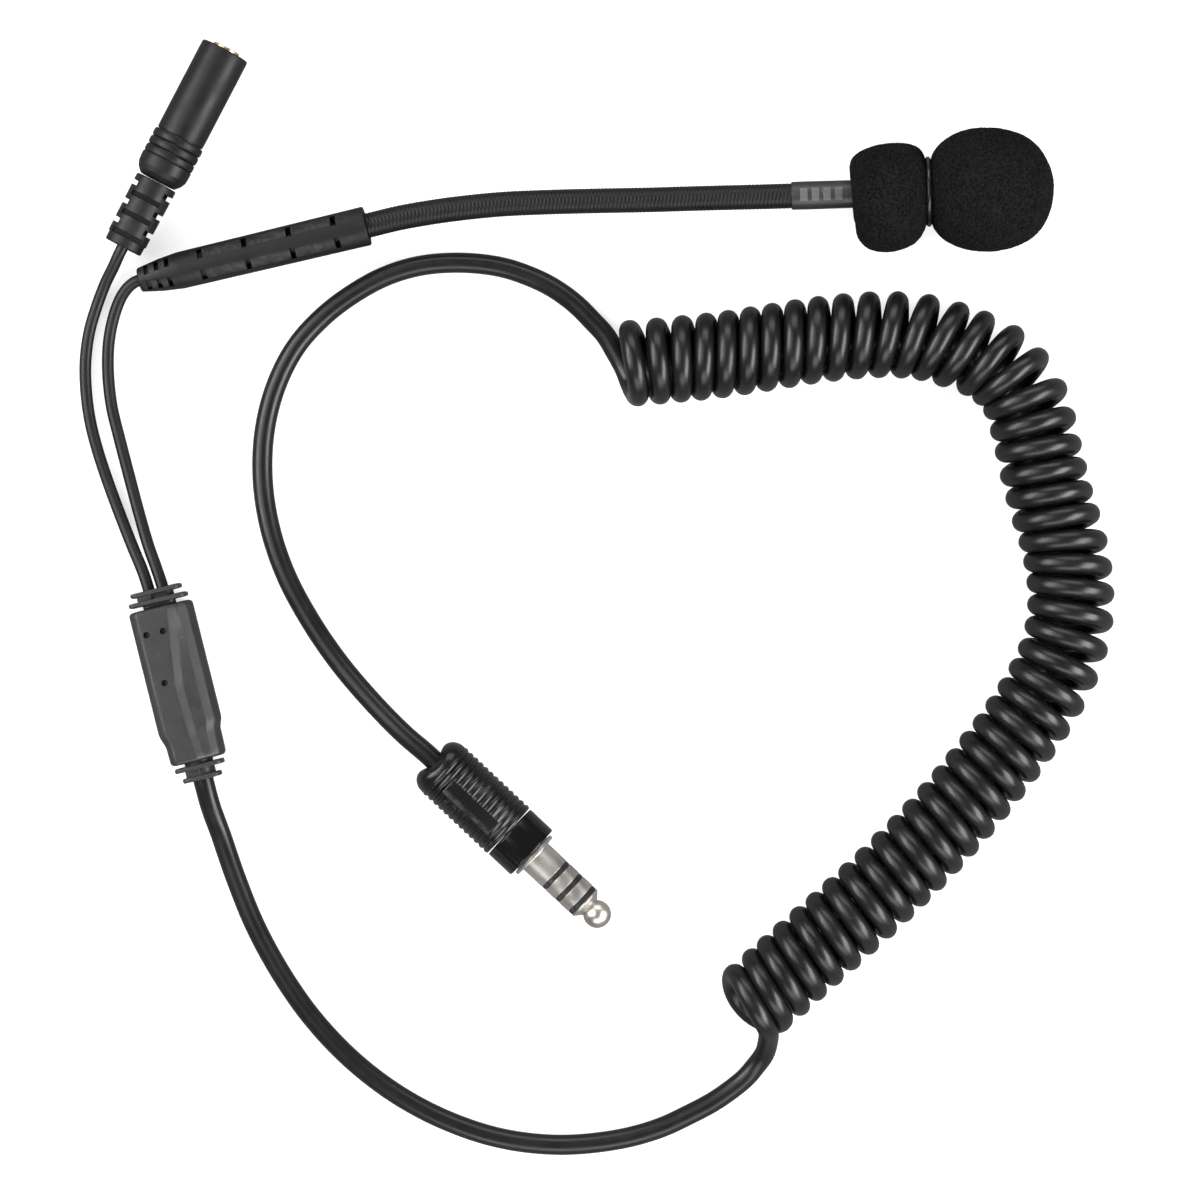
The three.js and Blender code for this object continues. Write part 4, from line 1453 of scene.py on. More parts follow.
        spot = spot + lean / 2 * np.cos(angle) + self.last_turn_swing * swing
        centre = np.column_stack([np.interp(spot, places, axis[:, i]) for i in range(3)])
        heading = np.gradient(axis, axis=0)
        heading = np.column_stack([np.interp(spot, places, heading[:, i]) for i in range(3)])
        heading /= np.linalg.norm(heading, axis=1, keepdims=True)
        outward = np.column_stack([-heading[:, 1], heading[:, 0], np.zeros(len(heading))])
        ring = np.cos(angle)[:, None] * outward + np.sin(angle)[:, None] * np.array([0, 0, 1.0])
        return (centre + self.coil_axis_radius * ring)[::-1] * MM

    def main_line(self) -> np.ndarray:
        """Returns the whole centre line of the main cord, from the junction to the plug."""
        control = np.vstack([np.array(self.lower_route), self.coil(), np.array(self.upper_route)])
        return smooth_route(control, 1.25 * MM)

    def lead(self, name: str, line: np.ndarray, radius: float, finish: Finish,
             *stands_for: str) -> Piece:
        """Makes one lead.

        Args:
            name: its name.
            line: its centre line, in metres.
            radius: its radius, in metres.
            finish: its jacket.
            stands_for: the CAD nodes that it replaces.

        Returns:
            The tube.
        """
        piece = tube(name, line, radius, finish, 20)
        return install(piece, finish, Body.LEAD_SET, *stands_for)

    def build(self, socket: list, junction: list, plug: list) -> None:
        """Args:
            socket: the pieces on the phone lead's far end. Not used.
            junction: the pieces on the microphone lead's far end. Not used.
            plug: the pieces on the main cord's far end. Not used.
        """
        phone = smooth_route(np.array(self.phone_route), 1.0 * MM)[::-1]
        mic = smooth_route(np.array(self.mic_route), 1.0 * MM)
        main = self.main_line()
        jobs = [
            ("phone_lead_jacket", phone, self.thin_radius, THIN_LEAD_FINISH, ("phone_lead",),
             "connector", "limp",
             socket),
            ("mic_lead_jacket", mic, self.thin_radius, THIN_LEAD_FINISH, ("mic_lead",),
             "connector", "limp",
             junction),
            ("main_cord_jacket", main, self.main_radius, MAIN_LEAD_FINISH,
             ("main_lead_lower", "coil_cord", "main_lead_upper"), "plug", "medium", plug),
        ]
        for name, line, radius, finish, nodes, far_end, stiffness, pieces in jobs:
            piece = self.lead(name, line, radius, finish, *nodes)


@dataclass
class Boom:
    """The handle and the ribbed sleeve of the flexible boom."""

    low_x: float = -84.0
    low_z: float = 3.76
    rise: float = 0.0535
    handle_start: tuple = (-91.4, -14.1)
    handle_end: tuple = (-45.7, -3.4)
    handle_length: float = 47.0
    handle_radius: float = 3.95
    shoulder_radius: float = 3.7
    bore_radius: float = 2.8
    lead_bore: float = 1.5
    window_spread: float = 37.0
    window_depth: float = 3.0
    window_rows: tuple = ((13.3, 9.15, 4, 1.1, 2.5, 4.1), (2.0, 2.2, 3, 0.95, 2.3, 3.4))
    samples_per_rib: int = 6
    sleeve_radius: float = 2.5
    rib_pitch: float = 0.75
    rib_depth: float = 0.07
    route: tuple = (
        (-45.7, -3.4), (-39.1, -1.85), (-33, -0.8), (-27, 0), (-19, 0.75), (-9.1, 1.15),
        (0.8, 1.35), (10.8, 1.5), (20.7, 1.75), (30.6, 1.95), (37.5, 2.1))
    mic_end: tuple = (90.9, 3.5)
    inside_handle: float = 26.4
    sleeve_into_marking: float = 6.4

    def at(self, point: tuple) -> Point:
        """Lifts a point of the plan to the boom's height.

        Args:
            point: x and y.

        Returns:
            The point on the boom's centre line.
        """
        return (point[0], point[1], self.low_z + (point[0] - self.low_x) * self.rise)

    def mic_frame(self) -> Matrix:
        """Returns the microphone's own frame, which starts at the boom's last pivot."""
        last = [joint for joint in frame["joints"] if joint["type"] == "hinge"][-1]
        return own_frame(tuple(value / MM for value in last["pos_m"]), self.at(self.mic_end))

    def handle(self) -> Piece:
        """Makes the handle with its windows.

        Returns:
            The sleeve.
        """
        place = own_frame(self.at(self.handle_start), self.at(self.handle_end))
        end = self.handle_length
        piece = turned("handle_sleeve", [
            (0, self.lead_bore, 0.1), (0, 2.4, 0.45), (4.5, 3.25, 3),
            (8.5, self.shoulder_radius, 4),
            (end, self.handle_radius, 0.3), (end, self.bore_radius, 0.2),
            (14.2, self.bore_radius), (12.2, self.lead_bore)], place, 120)
        tools = []
        for first, pitch, count, length, width, reach in self.window_rows:
            for start in (-self.window_spread, 180 - self.window_spread):
                tools.append(window_cutter(
                    place, HANDLE_FINISH, First=first, Pitch=pitch, Count=count, Row_Start=start,
                    Row_Step=2 * self.window_spread, Rows=2, Length=length, Width=width,
                    Depth=self.window_depth, Reach=reach))
        carve(piece, tools)
        return install(piece, HANDLE_FINISH, Body.LEAD_SET, "boom_handle")

    def sleeve(self) -> None:
        """Makes the ribbed sleeve, one piece round each pivot, from link middle to link middle."""
        pivots = [Vector(joint["pos_m"]) for joint in frame["joints"] if joint["type"] == "hinge"]
        mic = self.mic_frame()
        route = np.array([self.at(point) for point in self.route]) * MM
        along = (Vector(route[0]) - Vector(self.at(self.handle_start)) * MM).normalized()
        inner = Vector(route[0]) - along * self.inside_handle * MM
        tail = [tuple(mic @ Vector((x, 0, 0))) for x in (4.9, self.sleeve_into_marking)]
        kept = [point for point in route if point[0] < pivots[-1].x - 1 * MM]
        spacing = self.rib_pitch / self.samples_per_rib * MM
        line = smooth_route(np.vstack([[tuple(inner)], kept, [tuple(pivots[-1])], tail]), spacing)
        cuts = [0]
        for before, after in zip(pivots, pivots[1:]):
            middle = np.array((before + after) / 2)
            nearest = int(np.argmin(np.linalg.norm(line - middle, axis=1)))
            cuts.append(nearest - nearest % self.samples_per_rib)
        cuts.append(len(line) - 1)
        nodes = ["boom_root_ferrule", *[f"boom_link_{number}" for number in range(1, len(pivots))]]
        for place, pivot in enumerate(pivots):
            part = line[cuts[place]:cuts[place + 1] + 1]
            name = f"boom_sleeve_{place + 1}"
            piece = tube(name, part, self.sleeve_radius * MM, BOOM_FINISH, 40,
                         Rib_Depth=self.rib_depth * MM,
                         Rib_Pitch=self.rib_pitch * MM, Rib_Sharpness=0.7)
            dress(piece, BOOM_FINISH)
            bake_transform(piece)
            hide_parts(nodes[place])


@dataclass
class Microphone:
    """The stem, the marking sleeve and the casing inside the windscreen."""

    place: Matrix
    sleeve_start: float = 5.7
    sleeve_end: float = 20.2
    sleeve_radius: float = 2.8
    sleeve_bore: float = 2.45
    stem_radius: float = 2.2
    casing_end: float = 53.0
    casing_radius: float = 4.7
    wall: float = 1.0
    slots: tuple = (42.6, 45.0, 47.4)
    seam: float = 0.05

    def stem(self) -> None:
        """Makes the stem that the casing sits on."""
        end = self.sleeve_end + 4.5
        piece = turned("mic_stem_core", [
            (self.sleeve_start + 0.9, 0), (self.sleeve_start + 0.9, self.stem_radius, 0.1),
            (end, self.stem_radius, 0.3),
            (end, 0)],
            self.place, 64)
        install(piece, CASING_FINISH, Body.MICROPHONE, "mic_stem")

    def marking_sleeve(self) -> None:
        """Makes the printed sleeve."""
        finish = MarkedFinish("marking_sleeve", Slot.RUBBER, 0.007, grain_size=0.3,
                              grain_depth=0.001,
                              roughness=0.42, wear=0.05, place=self.place)
        radius = self.sleeve_radius
        piece = turned("marking_sleeve", [
            (self.sleeve_start, self.sleeve_bore, 0.05), (self.sleeve_start, radius - 0.02, 0.16),
            (self.sleeve_start + 3, radius), (self.sleeve_end - 3, radius - 0.03),
            (self.sleeve_end, radius - 0.02, 0.16), (self.sleeve_end, self.sleeve_bore, 0.05)],
            self.place)
        install(piece, finish, Body.MICROPHONE, "mic_marking_sleeve")

    def casing(self) -> None:
        """Makes the two halves of the casing, the front one with its sound slots."""
        start, end, radius = self.sleeve_end + 0.3, self.casing_end, self.casing_radius
        inner = radius - self.wall
        profile = [
            (start, 2.5), (start, 3.2, 0.2), (start + 1.9, radius, 0.8), (end - 1.2, radius, 0.6),
            (end, radius - 1.2, 0.4), (end, 0.6, 0.1), (end - 1, 0.6), (end - 1, inner - 0.6),
            (end - 1.8, inner), (start + 3.1, inner), (start + 2.1, 2.5)]
        for name, side, node in (("casing_back", -1, "mic_housing_back"),
                                 ("casing_front", 1, "mic_housing_front")):
            piece = turned(name, profile, self.place)
            half = block("half", (45, 12, 8), ((start + end) / 2, 0, side * (4 + self.seam)),
                         self.place)
            carve(piece, [half], Carving.KEEP_SHARED)
            if side > 0:
                carve(piece,
                      [block("slot", (1.1, 5, 4), (x, 0, radius), self.place, 0.15)
                       for x in self.slots])
            install(piece, CASING_FINISH, Body.MICROPHONE, node)

    def build(self) -> None:
        """Makes all of it."""
        self.stem()
        self.marking_sleeve()
        self.casing()


@dataclass
class Windscreen:
    """The two-lobed foam windscreen and the ring in its waist."""

    place: Matrix
    cell: float = 0.62
    depth: float = 0.3
    sides: int = 380
    ring_step: float = 0.2
    bore: float = 5.0
    bore_end: float = 53.6
    bore_stops: tuple = (45.0, 35.0, 26.0, 19.5)
    outline_length: float = 61.0
    skin_rows: int = 4
    far_side: tuple = (
        (17.3, 5.0), (17.15, 5.7), (17.8, 7.3), (19.8, 8.8), (22.9, 9.75), (26.3, 10.05),
        (29.3, 9.75),
        (31.3, 8.8), (32.3, 7.4), (32.6, 6.2), (32.8, 5.75), (33.15, 6.3), (33.7, 7.7),
        (35.3, 9.7),
        (38.0, 11.4), (41.2, 12.35), (44.6, 12.55), (48.4, 12.05), (51.8, 10.8), (54.7, 8.6),
        (56.6, 5.6),
        (57.6, 2.6), (57.85, 0.0))
    near_side: tuple = (
        (17.9, 5.0), (17.95, 6.2), (18.4, 8.7), (20.0, 10.8), (22.2, 11.75), (24.6, 11.95),
        (27.7, 11.4),
        (30.3, 10.05), (31.9, 8.0), (32.6, 6.2), (32.8, 5.75), (33.15, 6.3), (33.7, 7.7),
        (35.3, 9.6),
        (38.0, 11.2), (41.2, 12.15), (44.8, 12.4), (48.6, 11.95), (51.4, 11.0), (53.8, 9.5),
        (55.9, 7.0),
        (57.4, 3.4), (57.85, 0.0))
    ring_at: float = 32.8
    ring_radius: float = 6.35
    ring_thickness: float = 0.6

    @staticmethod
    def _even_profile(points: tuple, rows: int) -> np.ndarray:
        """Draws a smooth profile through points.

        Args:
            points: pairs of x and radius.
            rows: how many points the result has.

        Returns:
            Evenly spaced points.
        """
        flat = np.column_stack([np.array(points, float), np.zeros(len(points))])
        fine = smooth_route(flat, 0.02)
        along = np.linspace(0, len(fine) - 1, rows)
        return np.column_stack([np.interp(along, np.arange(len(fine)), fine[:, i])
                                for i in range(2)])

    def foam(self) -> None:
        """Makes the foam body with its open cells."""
        rows = int(self.outline_length / self.ring_step)
        far, near = self._even_profile(self.far_side, rows), self._even_profile(self.near_side,
                                                                                rows)
        angles = np.linspace(0, 2 * math.pi, self.sides, endpoint=False)
        share = (1 + np.cos(angles)) / 2
        corners, depths = [(self.bore_end, 0, 0)], [0.0]
        bore_rows = [(self.bore_end, self.bore)] + [(x, self.bore)
                                                    for x in self.bore_stops]
        for x, radius in bore_rows:
            corners += [(x, radius * math.cos(angle), radius * math.sin(angle))
                        for angle in angles]
            depths += [0.0] * self.sides
        for row in range(rows - 1):
            x = near[row, 0] + (far[row, 0] - near[row, 0]) * share
            radius = near[row, 1] + (far[row, 1] - near[row, 1]) * share
            corners += list(zip(x, radius * np.cos(angles), radius * np.sin(angles)))
            depths += [min(1.0, row / self.skin_rows)] * self.sides
        corners.append((far[-1, 0], 0, 0))
        depths.append(1.0)
        ring_count = len(bore_rows) + rows - 1
        faces = []
        last = len(corners) - 1
        for side in range(self.sides):
            after = (side + 1) % self.sides
            faces.append((0, 1 + side, 1 + after))
            tip = 1 + (ring_count - 1) * self.sides
            faces.append((last, tip + after, tip + side))
            for ring in range(ring_count - 1):
                low, high = 1 + ring * self.sides, 1 + (ring + 1) * self.sides
                faces.append((low + side, high + side, high + after, low + after))
        seed = bpy.data.meshes.new("foam_skin")
        seed.from_pydata([tuple(map(float, corner)) for corner in corners], [], faces)
        seed.transform(self.place)
        seed.attributes.new("skin", "FLOAT", "POINT").data.foreach_set("value", depths)
        face_outwards(seed)
        piece = Growth.FOAM.grow("foam_body", seed, FOAM_FINISH, Cell=self.cell * MM,
                                 Depth=self.depth * MM)
        install(piece, FOAM_FINISH, Body.WINDSCREEN, "foam_windscreen")

    def ring(self) -> None:
        """Makes the rubber ring."""
        half, radius = self.ring_thickness, self.ring_radius
        profile = []
        for step in range(20):
            angle = -2 * math.pi * step / 20
            profile.append((self.ring_at - half * 0.92 * math.cos(angle),
                            radius - half * math.sin(angle)))
        piece = turned("waist_ring", profile, self.place, 128)
        install(piece, RING_FINISH, Body.WINDSCREEN, "windscreen_ring")

    def build(self) -> None:
        """Makes both."""
        self.foam()
        self.ring()


@dataclass
class Junction:
    """The moulded junction of the two thin leads and the main cord."""

    start: Point = (-87.95, -76.0, 4.65)
    end: Point = (-78.45, -114.1, 4.65)
    body_start: float = 3.5
    body_end: float = 35.2
    length: float = 39.2
    edge: float = 0.8
    top: float = 4.6
    half_width: float = 6.35
    left_plan: tuple = ((0, 6.35), (28.3, 6.35), (31.7, 5.5), (40, 5.25))
    right_plan: tuple = ((0, 6.35), (27.6, 6.35), (30.0, 5.65), (40, 5.45))
    ridge_plan: tuple = ((4, 1.5), (20, -0.7), (30, -0.4), (36, 0.4))
    lead_spacing: float = 2.75
    thin_bore: float = 1.35
    main_bore: float = 2.2
    main_bore_start: float = 33.0
    pin_radius: float = 0.65
    pin_depth: float = 2.4
    fin_edge: float = 0.28
    web: Point = (2.4, 3.0, 6.2)
    pin_holes: tuple = ((8.5, -3.6), (8.5, -0.2), (18.6, -2.4))

    def place(self) -> Matrix:
        """Returns the junction's own frame."""
        return own_frame(self.start, self.end)

    def section(self, ridge: float) -> np.ndarray:
        """Draws the body's section: a flat top on the left and a lower slope on the right.

        Args:
            ridge: how far across the flat top ends.

        Returns:
            The section's points.
        """
        side, top = self.half_width, self.top
        outline = [
            (-side, -top, 2.0), (side, -top, 2.0), (side, 0.3, 1.2), (side - 0.9, 2.35, 1.6),
            (side - 2.7, 3.2, 1.6), (ridge + 1.7, 3.75, 1.6), (ridge, top, 1.6),
            (-side + 1.6, top, 1.2), (-side + 0.5, top - 0.95, 1.0), (-side, top - 2.8, 1.2)]
        return np.array(filleted(outline, 6, looped=True))

    @staticmethod
    def _plan(rows: tuple, x: float) -> float:
        """Reads a side of the plan with a smooth step between its points.

        Args:
            rows: pairs of x and half-width.
            x: where to read it.

        Returns:
            The half-width there.
        """
        for (low, first), (high, second) in zip(rows, rows[1:]):
            if x <= high:
                share = (x - low) / (high - low)
                return first + (second - first) * share * share * (3 - 2 * share)
        return rows[-1][1]

    def body(self) -> Piece:
        """Makes the body with its lead bores and pin holes.

        Returns:
            The body.
        """
        place = self.place()
        stations = []
        for angle in np.linspace(0, math.pi / 2, 6):
            inset = self.edge * (1 - math.sin(angle))
            stations.append((self.body_start + self.edge * (1 - math.cos(angle)), inset))
        middle = np.linspace(self.body_start + self.edge, self.body_end - self.edge, 40)[1:-1]
        finish = [(self.body_start + self.body_end - x, inset) for x, inset in stations[::-1]]
        stations += [(x, 0.0) for x in middle] + finish
        loops = []
        for x, inset in stations:
            left, right = self._plan(self.left_plan, x), self._plan(self.right_plan, x)
            loop = []
            for y, z in self.section(float(np.interp(x, *zip(*self.ridge_plan)))):
                width = (left if y < 0 else right) - inset
                loop.append((x, y / self.half_width * width, z * (self.top - inset) / self.top))
            loops.append(loop)
        piece = lofted("junction_shell", loops, place)
        tools = [upright(self.pin_radius, self.pin_depth, (x, y, self.top), place) for x,
                 y in self.pin_holes]
        tools += self.lead_bores(3.5, 7.5)
        tools.append(drill(self.main_bore_start, 37, self.main_bore, place))
        carve(piece, tools)
        return install(piece, JUNCTION_FINISH, Body.LEAD_SET, "junction_body")

    def lead_bores(self, start: float, end: float) -> list[Piece]:
        """Makes cutters for the two thin leads.

        Args:
            start: where they begin along X.
            end: where they end.

        Returns:
            The two cutters.
        """
        shifts = (-self.lead_spacing / 2, self.lead_spacing / 2)
        return [drill(start, end, self.thin_bore, self.place() @ Matrix.Translation((0, y, 0)), 40)
                for y in shifts]

    def reliefs(self) -> list[Piece]:
        """Makes the two finned strain reliefs.

        Returns:
            The top relief and the bottom relief.
        """
        place = self.place()

        def plate(start: float, width: float, height: float, thick: float = 1.1) -> Piece:
            """Makes one fin.

            Args:
                start: where it begins along X.
                width: half its width.
                height: half its height.
                thick: its thickness.

            Returns:
                The fin.
            """
            outline = [(-width, -height, 1.5), (width, -height, 1.5), (width, height, 1.5),
                       (-width, height, 1.5)]
            return slab("fin", start, start + thick, outline, self.fin_edge, place)

        core = plate(0.12, 3.3, 2.4, self.body_start - 0.12)
        core.name = "junction_top_fins"
        tools = [plate(-0.15, 5.1, 3.5, 0.9), plate(1.75, 5.85, 3.9, 0.9),
                 block("web", self.web, (1.3, -2.4, 0), place, 0.3)]
        top = carve(carve(core, tools, Carving.JOIN), self.lead_bores(-1, 6))
        end = self.length
        tail = turned("junction_bottom_fins", [
            (self.body_end - 0.3, 0), (self.body_end - 0.3, 2.9), (end - 0.1, 2.9, 0.3),
            (end - 0.1, 0)], place, 64)
        tools = [plate(self.body_end + 0.65, 4.9, 3.7, 0.95), plate(end - 1.1, 3.85, 3.4, 0.95),
                 block("web", self.web, (end - 2, -1.4, 0), place, 0.3)]
        bore = drill(self.main_bore_start, 41, self.main_bore, place)
        bottom = carve(carve(tail, tools, Carving.JOIN), [bore])
        install(top, JUNCTION_FINISH, Body.LEAD_SET, "junction_top_relief")
        install(bottom, JUNCTION_FINISH, Body.LEAD_SET, "junction_bottom_relief")
        return [top, bottom]

    def build(self) -> list[Piece]:
        """Makes the body and its reliefs, and returns them."""
        return [self.body(), *self.reliefs()]


@dataclass
class Socket:
    """The inline earphone socket."""

    start: Point = (-94.5, -7.65, 5.35)
    end: Point = (-74.0, 31.6, 5.35)
    length: float = 44.3
    radius: float = 5.0
    rib_radius: float = 5.3
    relief_length: float = 14.6
    bore: float = 1.5
    jack: float = 1.8
    rib_depth: float = 0.6
    dome_end: float = 19.25
    mouth_radius: float = 3.1
    throat_radius: float = 3.7
    window: float = 1.1
    window_start: float = 2.4
    window_width: float = 6.3
    window_depth: float = 3.2
    window_reach: float = 3.85
    window_pitch: float = 2.05
    rib_pitch: float = 1.75

    def place(self) -> Matrix:
        """Returns the socket's own frame."""
        return own_frame(self.start, self.end)

    def barrel(self) -> Piece:
        """Makes the barrel with its dome, three ribs and open mouth.

        Returns:
            The barrel.
        """
        place, wide, end = self.place(), self.rib_radius, self.length
        start = self.relief_length + 0.3
        dome_end, mouth, throat = self.dome_end, self.mouth_radius, self.throat_radius
        piece = turned("socket_shell", [
            (start, self.bore), (start, 3.75, 0.3), (start + 1.0, 4.7, 0.7),
            (17.0, wide - 0.08, 0.9),
            (18.4, wide), (dome_end, wide, 0.18), (dome_end, self.radius - 0.35),
            (dome_end + 5.4, self.radius - 0.35), (dome_end + 5.4, self.radius - 0.05, 0.12),
            (26.0, self.radius), (end, self.radius, 0.45), (end, mouth, 0.25), (end - 1.8, mouth),
            (end - 1.8, throat), (20, throat), (20, self.bore)], place, 112)
        line = [place @ Vector((x, 0, 0))
                for x in np.linspace(dome_end, dome_end + 3 * self.rib_pitch, 61)]
        ribs = tube("ribs", np.array(line), wide * MM, SOCKET_FINISH, 112,
                    Rib_Depth=self.rib_depth * MM,
                    Rib_Pitch=self.rib_pitch * MM, Rib_Sharpness=0.22)
        carve(ribs, [drill(18, 26, 4.4, place, 64)])
        carve(piece, [ribs], Carving.JOIN)
        return install(piece, SOCKET_FINISH, Body.LEAD_SET, "socket_barrel")

    def relief(self) -> Piece:
        """Makes the bending sleeve with windows cut turn about.

        Returns:
            The relief.
        """
        place, end = self.place(), self.relief_length
        piece = turned("socket_relief", [
            (0, self.bore, 0.1), (0, 3.9, 0.35), (1.8, 3.92, 0.12), (1.95, 4.15, 0.1),
            (end, 4.3, 0.3),
            (end, self.bore)], place, 112)
        tools = []
        for first, turn in ((self.window_start, 0.0),
                            (self.window_start + self.window_pitch, 90.0)):
            tools.append(window_cutter(
                place, SOCKET_FINISH, First=first, Pitch=2 * self.window_pitch, Count=3,
                Row_Start=turn, Row_Step=180.0, Rows=2, Length=self.window,
                Width=self.window_width,
                Depth=self.window_depth, Reach=self.window_reach))
        carve(piece, tools)
        return install(piece, SOCKET_FINISH, Body.LEAD_SET, "socket_strain_relief")

    def nose(self) -> Piece:
        """Makes the gold contact sleeve in the mouth.

        Returns:
            The sleeve.
        """
        end = self.length
        piece = turned("socket_gold_nose", [
            (end - 4.3, self.jack), (end - 4.3, 3.4), (end - 2.1, 3.4), (end - 2.1, 2.8, 0.1),
            (end + 0.6, 2.8, 0.2), (end + 0.6, self.jack, 0.2)], self.place())
        return install(piece, GOLD_FINISH, Body.LEAD_SET, "socket_nose")

    def build(self) -> list[Piece]:
        """Makes all of it, and returns the pieces."""
        return [self.barrel(), self.relief(), self.nose()]


@dataclass
class Plug:
    """The four-pole telephone plug."""

    start: Point = (-33.0, -109.5, 6.35)
    end: Point = (-12.8, -128.5, 6.35)
    grip_radius: float = 6.3
    grip_length: float = 21.3
    back_length: float = 3.3
    rib_pitch: float = 1.38
    rib_depth: float = 0.42
    saddle_depth: float = 1.6
    saddle_width: float = 2.9
    lead_bore: float = 2.35
    panel: tuple = (12.6, 3.4, 6.1)
    panel_at: tuple[float, float] = (12.6, -1.5)
    collar_end: float = 27.7
    collar_radius: float = 6.1
    finger_radius: float = 3.57
    bands: tuple = (34.3, 37.9, 41.5)
    band_width: float = 1.0
    ball_radius: float = 2.8
    seam: float = 0.05
    core_radius: float = 1.7
    cavity_radius: float = 4.7
    flange_radius: float = 5.05
    root_radius: float = 4.2
    step: float = 0.15

    def place(self) -> Matrix:
        """Returns the plug's own frame."""
        return own_frame(self.start, self.end)

    def grip(self) -> Piece:
        """Makes the grip: a saddled back, ribs round it and a plain raised panel.

        Returns:
            The grip.
        """
        place, back, skirt = self.place(), self.back_length, self.grip_radius - self.step
        crown = [(back * (1 - math.sin(angle)), skirt - back * (1 - math.cos(angle)))
                 for angle in np.linspace(0, math.pi / 2, 9)][::-1]
        rim = [(0.0, radius) for radius in np.linspace(0.0, crown[0][1], 8)[:-1]]
        piece = turned("plug_grip_shell", [*rim, *crown, (back + 0.35, skirt), (back + 0.4, 0)],
                       Matrix.Identity(4), 120)
        for vertex in piece.data.vertices:
            x, y, _ = vertex.co
            if x < back:
                dent = self.saddle_depth * math.exp(-((y / self.saddle_width) ** 2) * 1.2)
                vertex.co.x = x + dent * (1 - x / back)
        piece.data.transform(place)
        face_outwards(piece.data)
        line = np.array([place @ Vector((x, 0, 0))
                         for x in np.linspace(back + 0.2, self.grip_length, 105)])
        ribs = tube("ribs", line, self.grip_radius * MM, GRIP_FINISH, 120,
                    Rib_Depth=self.rib_depth * MM,
                    Rib_Pitch=self.rib_pitch * MM, Rib_Sharpness=0.8)
        carve(piece, [ribs], Carving.JOIN)
        length, width, top = self.panel
        clear = block("clear", (length, width, 3), (*self.panel_at, top + 1.5), place)
        raised = block("panel", (length, width, 4), (*self.panel_at, top - 2), place, 0.25)
        carve(piece, [clear])
        carve(piece, [raised], Carving.JOIN)
        bore = [(-1, 0), (-1, self.lead_bore), (6, self.lead_bore), (6.8, self.cavity_radius),
                (22, self.cavity_radius), (22, 0)]
        carve(piece, [turned("bore", bore, place, 64)])
        return install(piece, GRIP_FINISH, Body.LEAD_SET, "plug_grip")

    def collar(self) -> Piece:
        """Makes the smooth collar.

        Returns:
            The collar.
        """
        start, end = self.grip_length + 0.3, self.collar_end
        piece = turned("plug_collar_shell", [
            (start, 4.6), (start, self.collar_radius, 0.3), (end, self.collar_radius, 0.35),
            (end, 4.6)],
            self.place(), 120)
        return install(piece, COLLAR_FINISH, Body.LEAD_SET, "plug_collar")

    def contacts(self) -> list[Piece]:
        """Makes the stack of contacts and insulating bands.

        Returns:
            The shank, the bands, the rings and the tip.
        """
        place, radius, half, seam = self.place(), self.finger_radius, self.band_width / 2, self.seam
        end, core = self.collar_end, self.core_radius
        made = []
        shank = turned("plug_shank", [
            (end - 6, core), (end - 6, self.root_radius), (end + 0.3, self.root_radius),
            (end + 0.3, self.flange_radius, 0.12), (end + 1, self.flange_radius, 0.12),
            (end + 1.05, radius, 0.15), (self.bands[0] - half, radius, 0.08),
            (self.bands[0] - half, core)], place)
        made.append(install(shank, NICKEL_FINISH, Body.LEAD_SET, "plug_sleeve_contact"))
        for number, x in enumerate(self.bands, 1):
            start, stop = x - half + seam, x + half - seam
            band = turned(f"plug_band_{number}", [
                (start, core), (start, radius - 0.06, 0.05), (stop, radius - 0.06, 0.05),
                (stop, core)], place)
            made.append(install(band, BAND_FINISH, Body.LEAD_SET, f"plug_insulator_{number}"))
        for number in (1, 2):
            start, stop = self.bands[number - 1] + half + seam, self.bands[number] - half - seam
            ring = turned(f"plug_ring_{number}", [
                (start, core), (start, radius, 0.1), (stop, radius, 0.1), (stop, core)], place)
            made.append(install(ring, NICKEL_FINISH, Body.LEAD_SET, f"plug_ring_contact_{number}"))
        tip_start, ball = self.bands[2] + half + seam, end + 17.9
        arc = [(ball - self.ball_radius * math.cos(angle), self.ball_radius * math.sin(angle))
               for angle in np.linspace(0.86, math.pi, 26)]
        tip = turned("plug_tip", [
            (end - 8, 0), (end - 8, 1.4), (tip_start, 1.4), (tip_start, radius, 0.1),
            (tip_start + 0.35, radius, 0.2),
            (tip_start + 1.75, 1.9, 0.3), (ball - 2.05, 1.9, 0.2), *arc[:-1],
            (ball + self.ball_radius, 0)], place)
        made.append(install(tip, NICKEL_FINISH, Body.LEAD_SET, "plug_tip_contact"))
        return made

    def build(self) -> list[Piece]:
        """Makes all of it, and returns the pieces."""
        return [self.grip(), self.collar(), *self.contacts()]


@dataclass
class InnerParts:
    """The fittings inside the housings, which keep their CAD shapes."""

    def dress(self) -> None:
        """Gives each inner node its finish."""
        finishes = {
            BRASS_FINISH: ["handle_lead_crimp", "splice_crimp_1", "splice_crimp_2",
                           "splice_crimp_3",
                           "plug_cable_clamp"],
            NICKEL_FINISH: ["mic_element"],
            BOARD_FINISH: ["mic_amplifier_board", "splice_board"],
            BLOCK_FINISH: ["socket_insulator", "plug_terminal_block"],
            GOLD_FINISH: ["socket_tip_contact", "socket_ring_contact"],
        }
        for finish, names in finishes.items():
            for name in names:
                slots = frame["nodes"][name].material_slots
                for slot in slots:
                    slot.material = finish.material()
                LOG.info("%s keeps its shape in %s", name, finish.name)


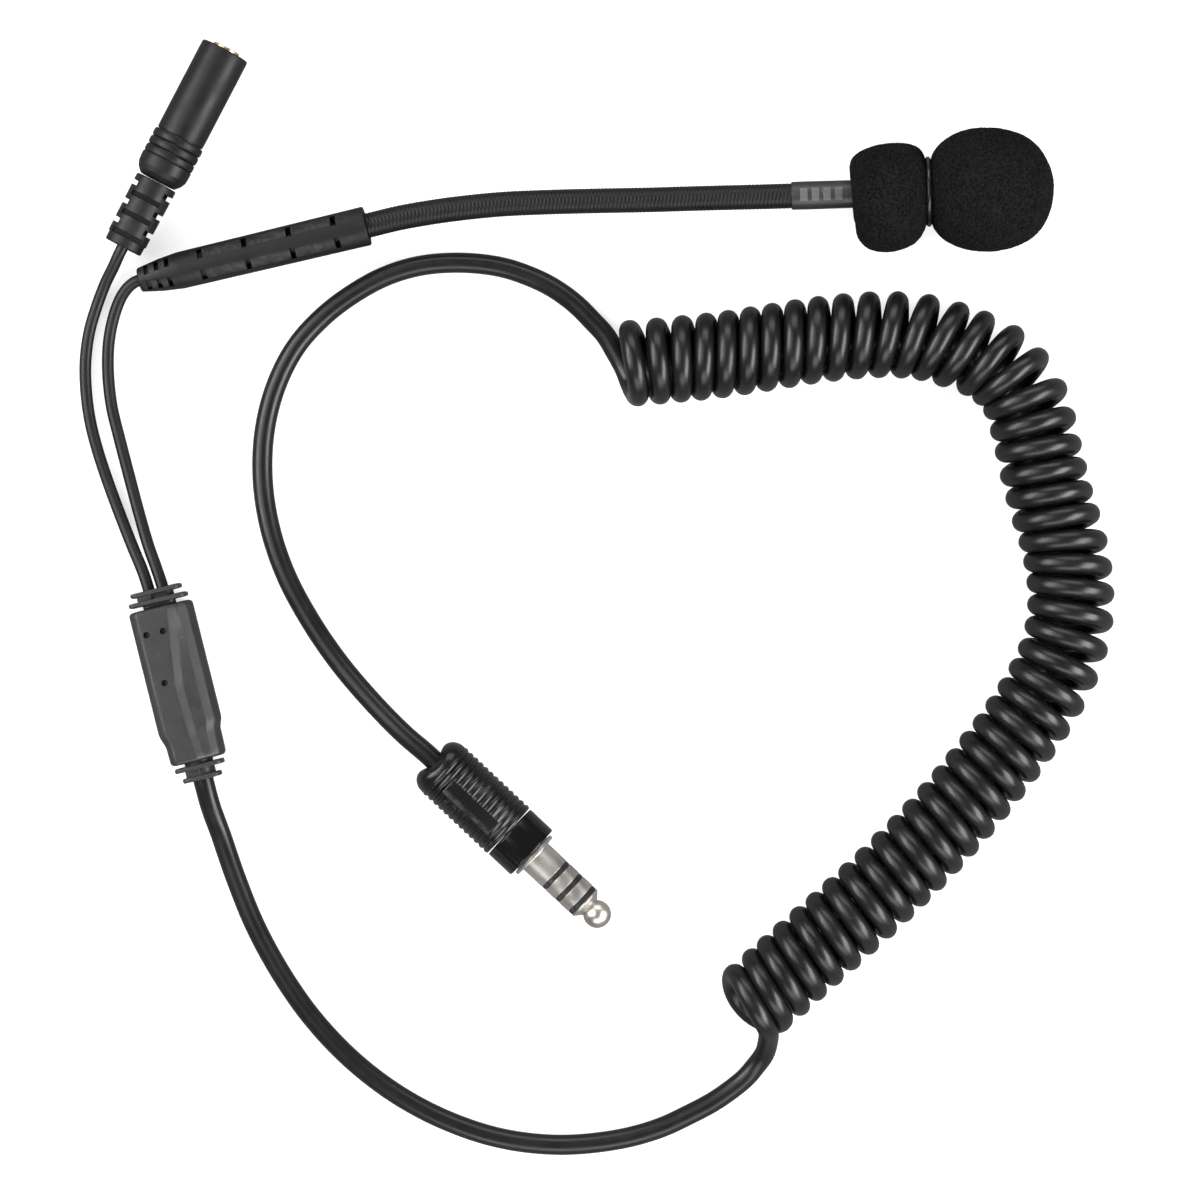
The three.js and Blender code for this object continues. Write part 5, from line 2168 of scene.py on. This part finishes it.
def main() -> None:
    """Builds the set in order."""
    logging.basicConfig(level=logging.INFO, format="%(name)s: %(message)s")
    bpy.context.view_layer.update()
    studio = Studio()
    studio.camera()
    studio.table()
    studio.lights()
    boom = Boom()
    boom.handle()
    boom.sleeve()
    Microphone(boom.mic_frame()).build()
    Windscreen(boom.mic_frame()).build()
    junction = Junction().build()
    socket = Socket().build()
    plug = Plug().build()
    Cords().build(socket, junction, plug)
    InnerParts().dress()
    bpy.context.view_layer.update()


if __name__ == "__main__":
    main()
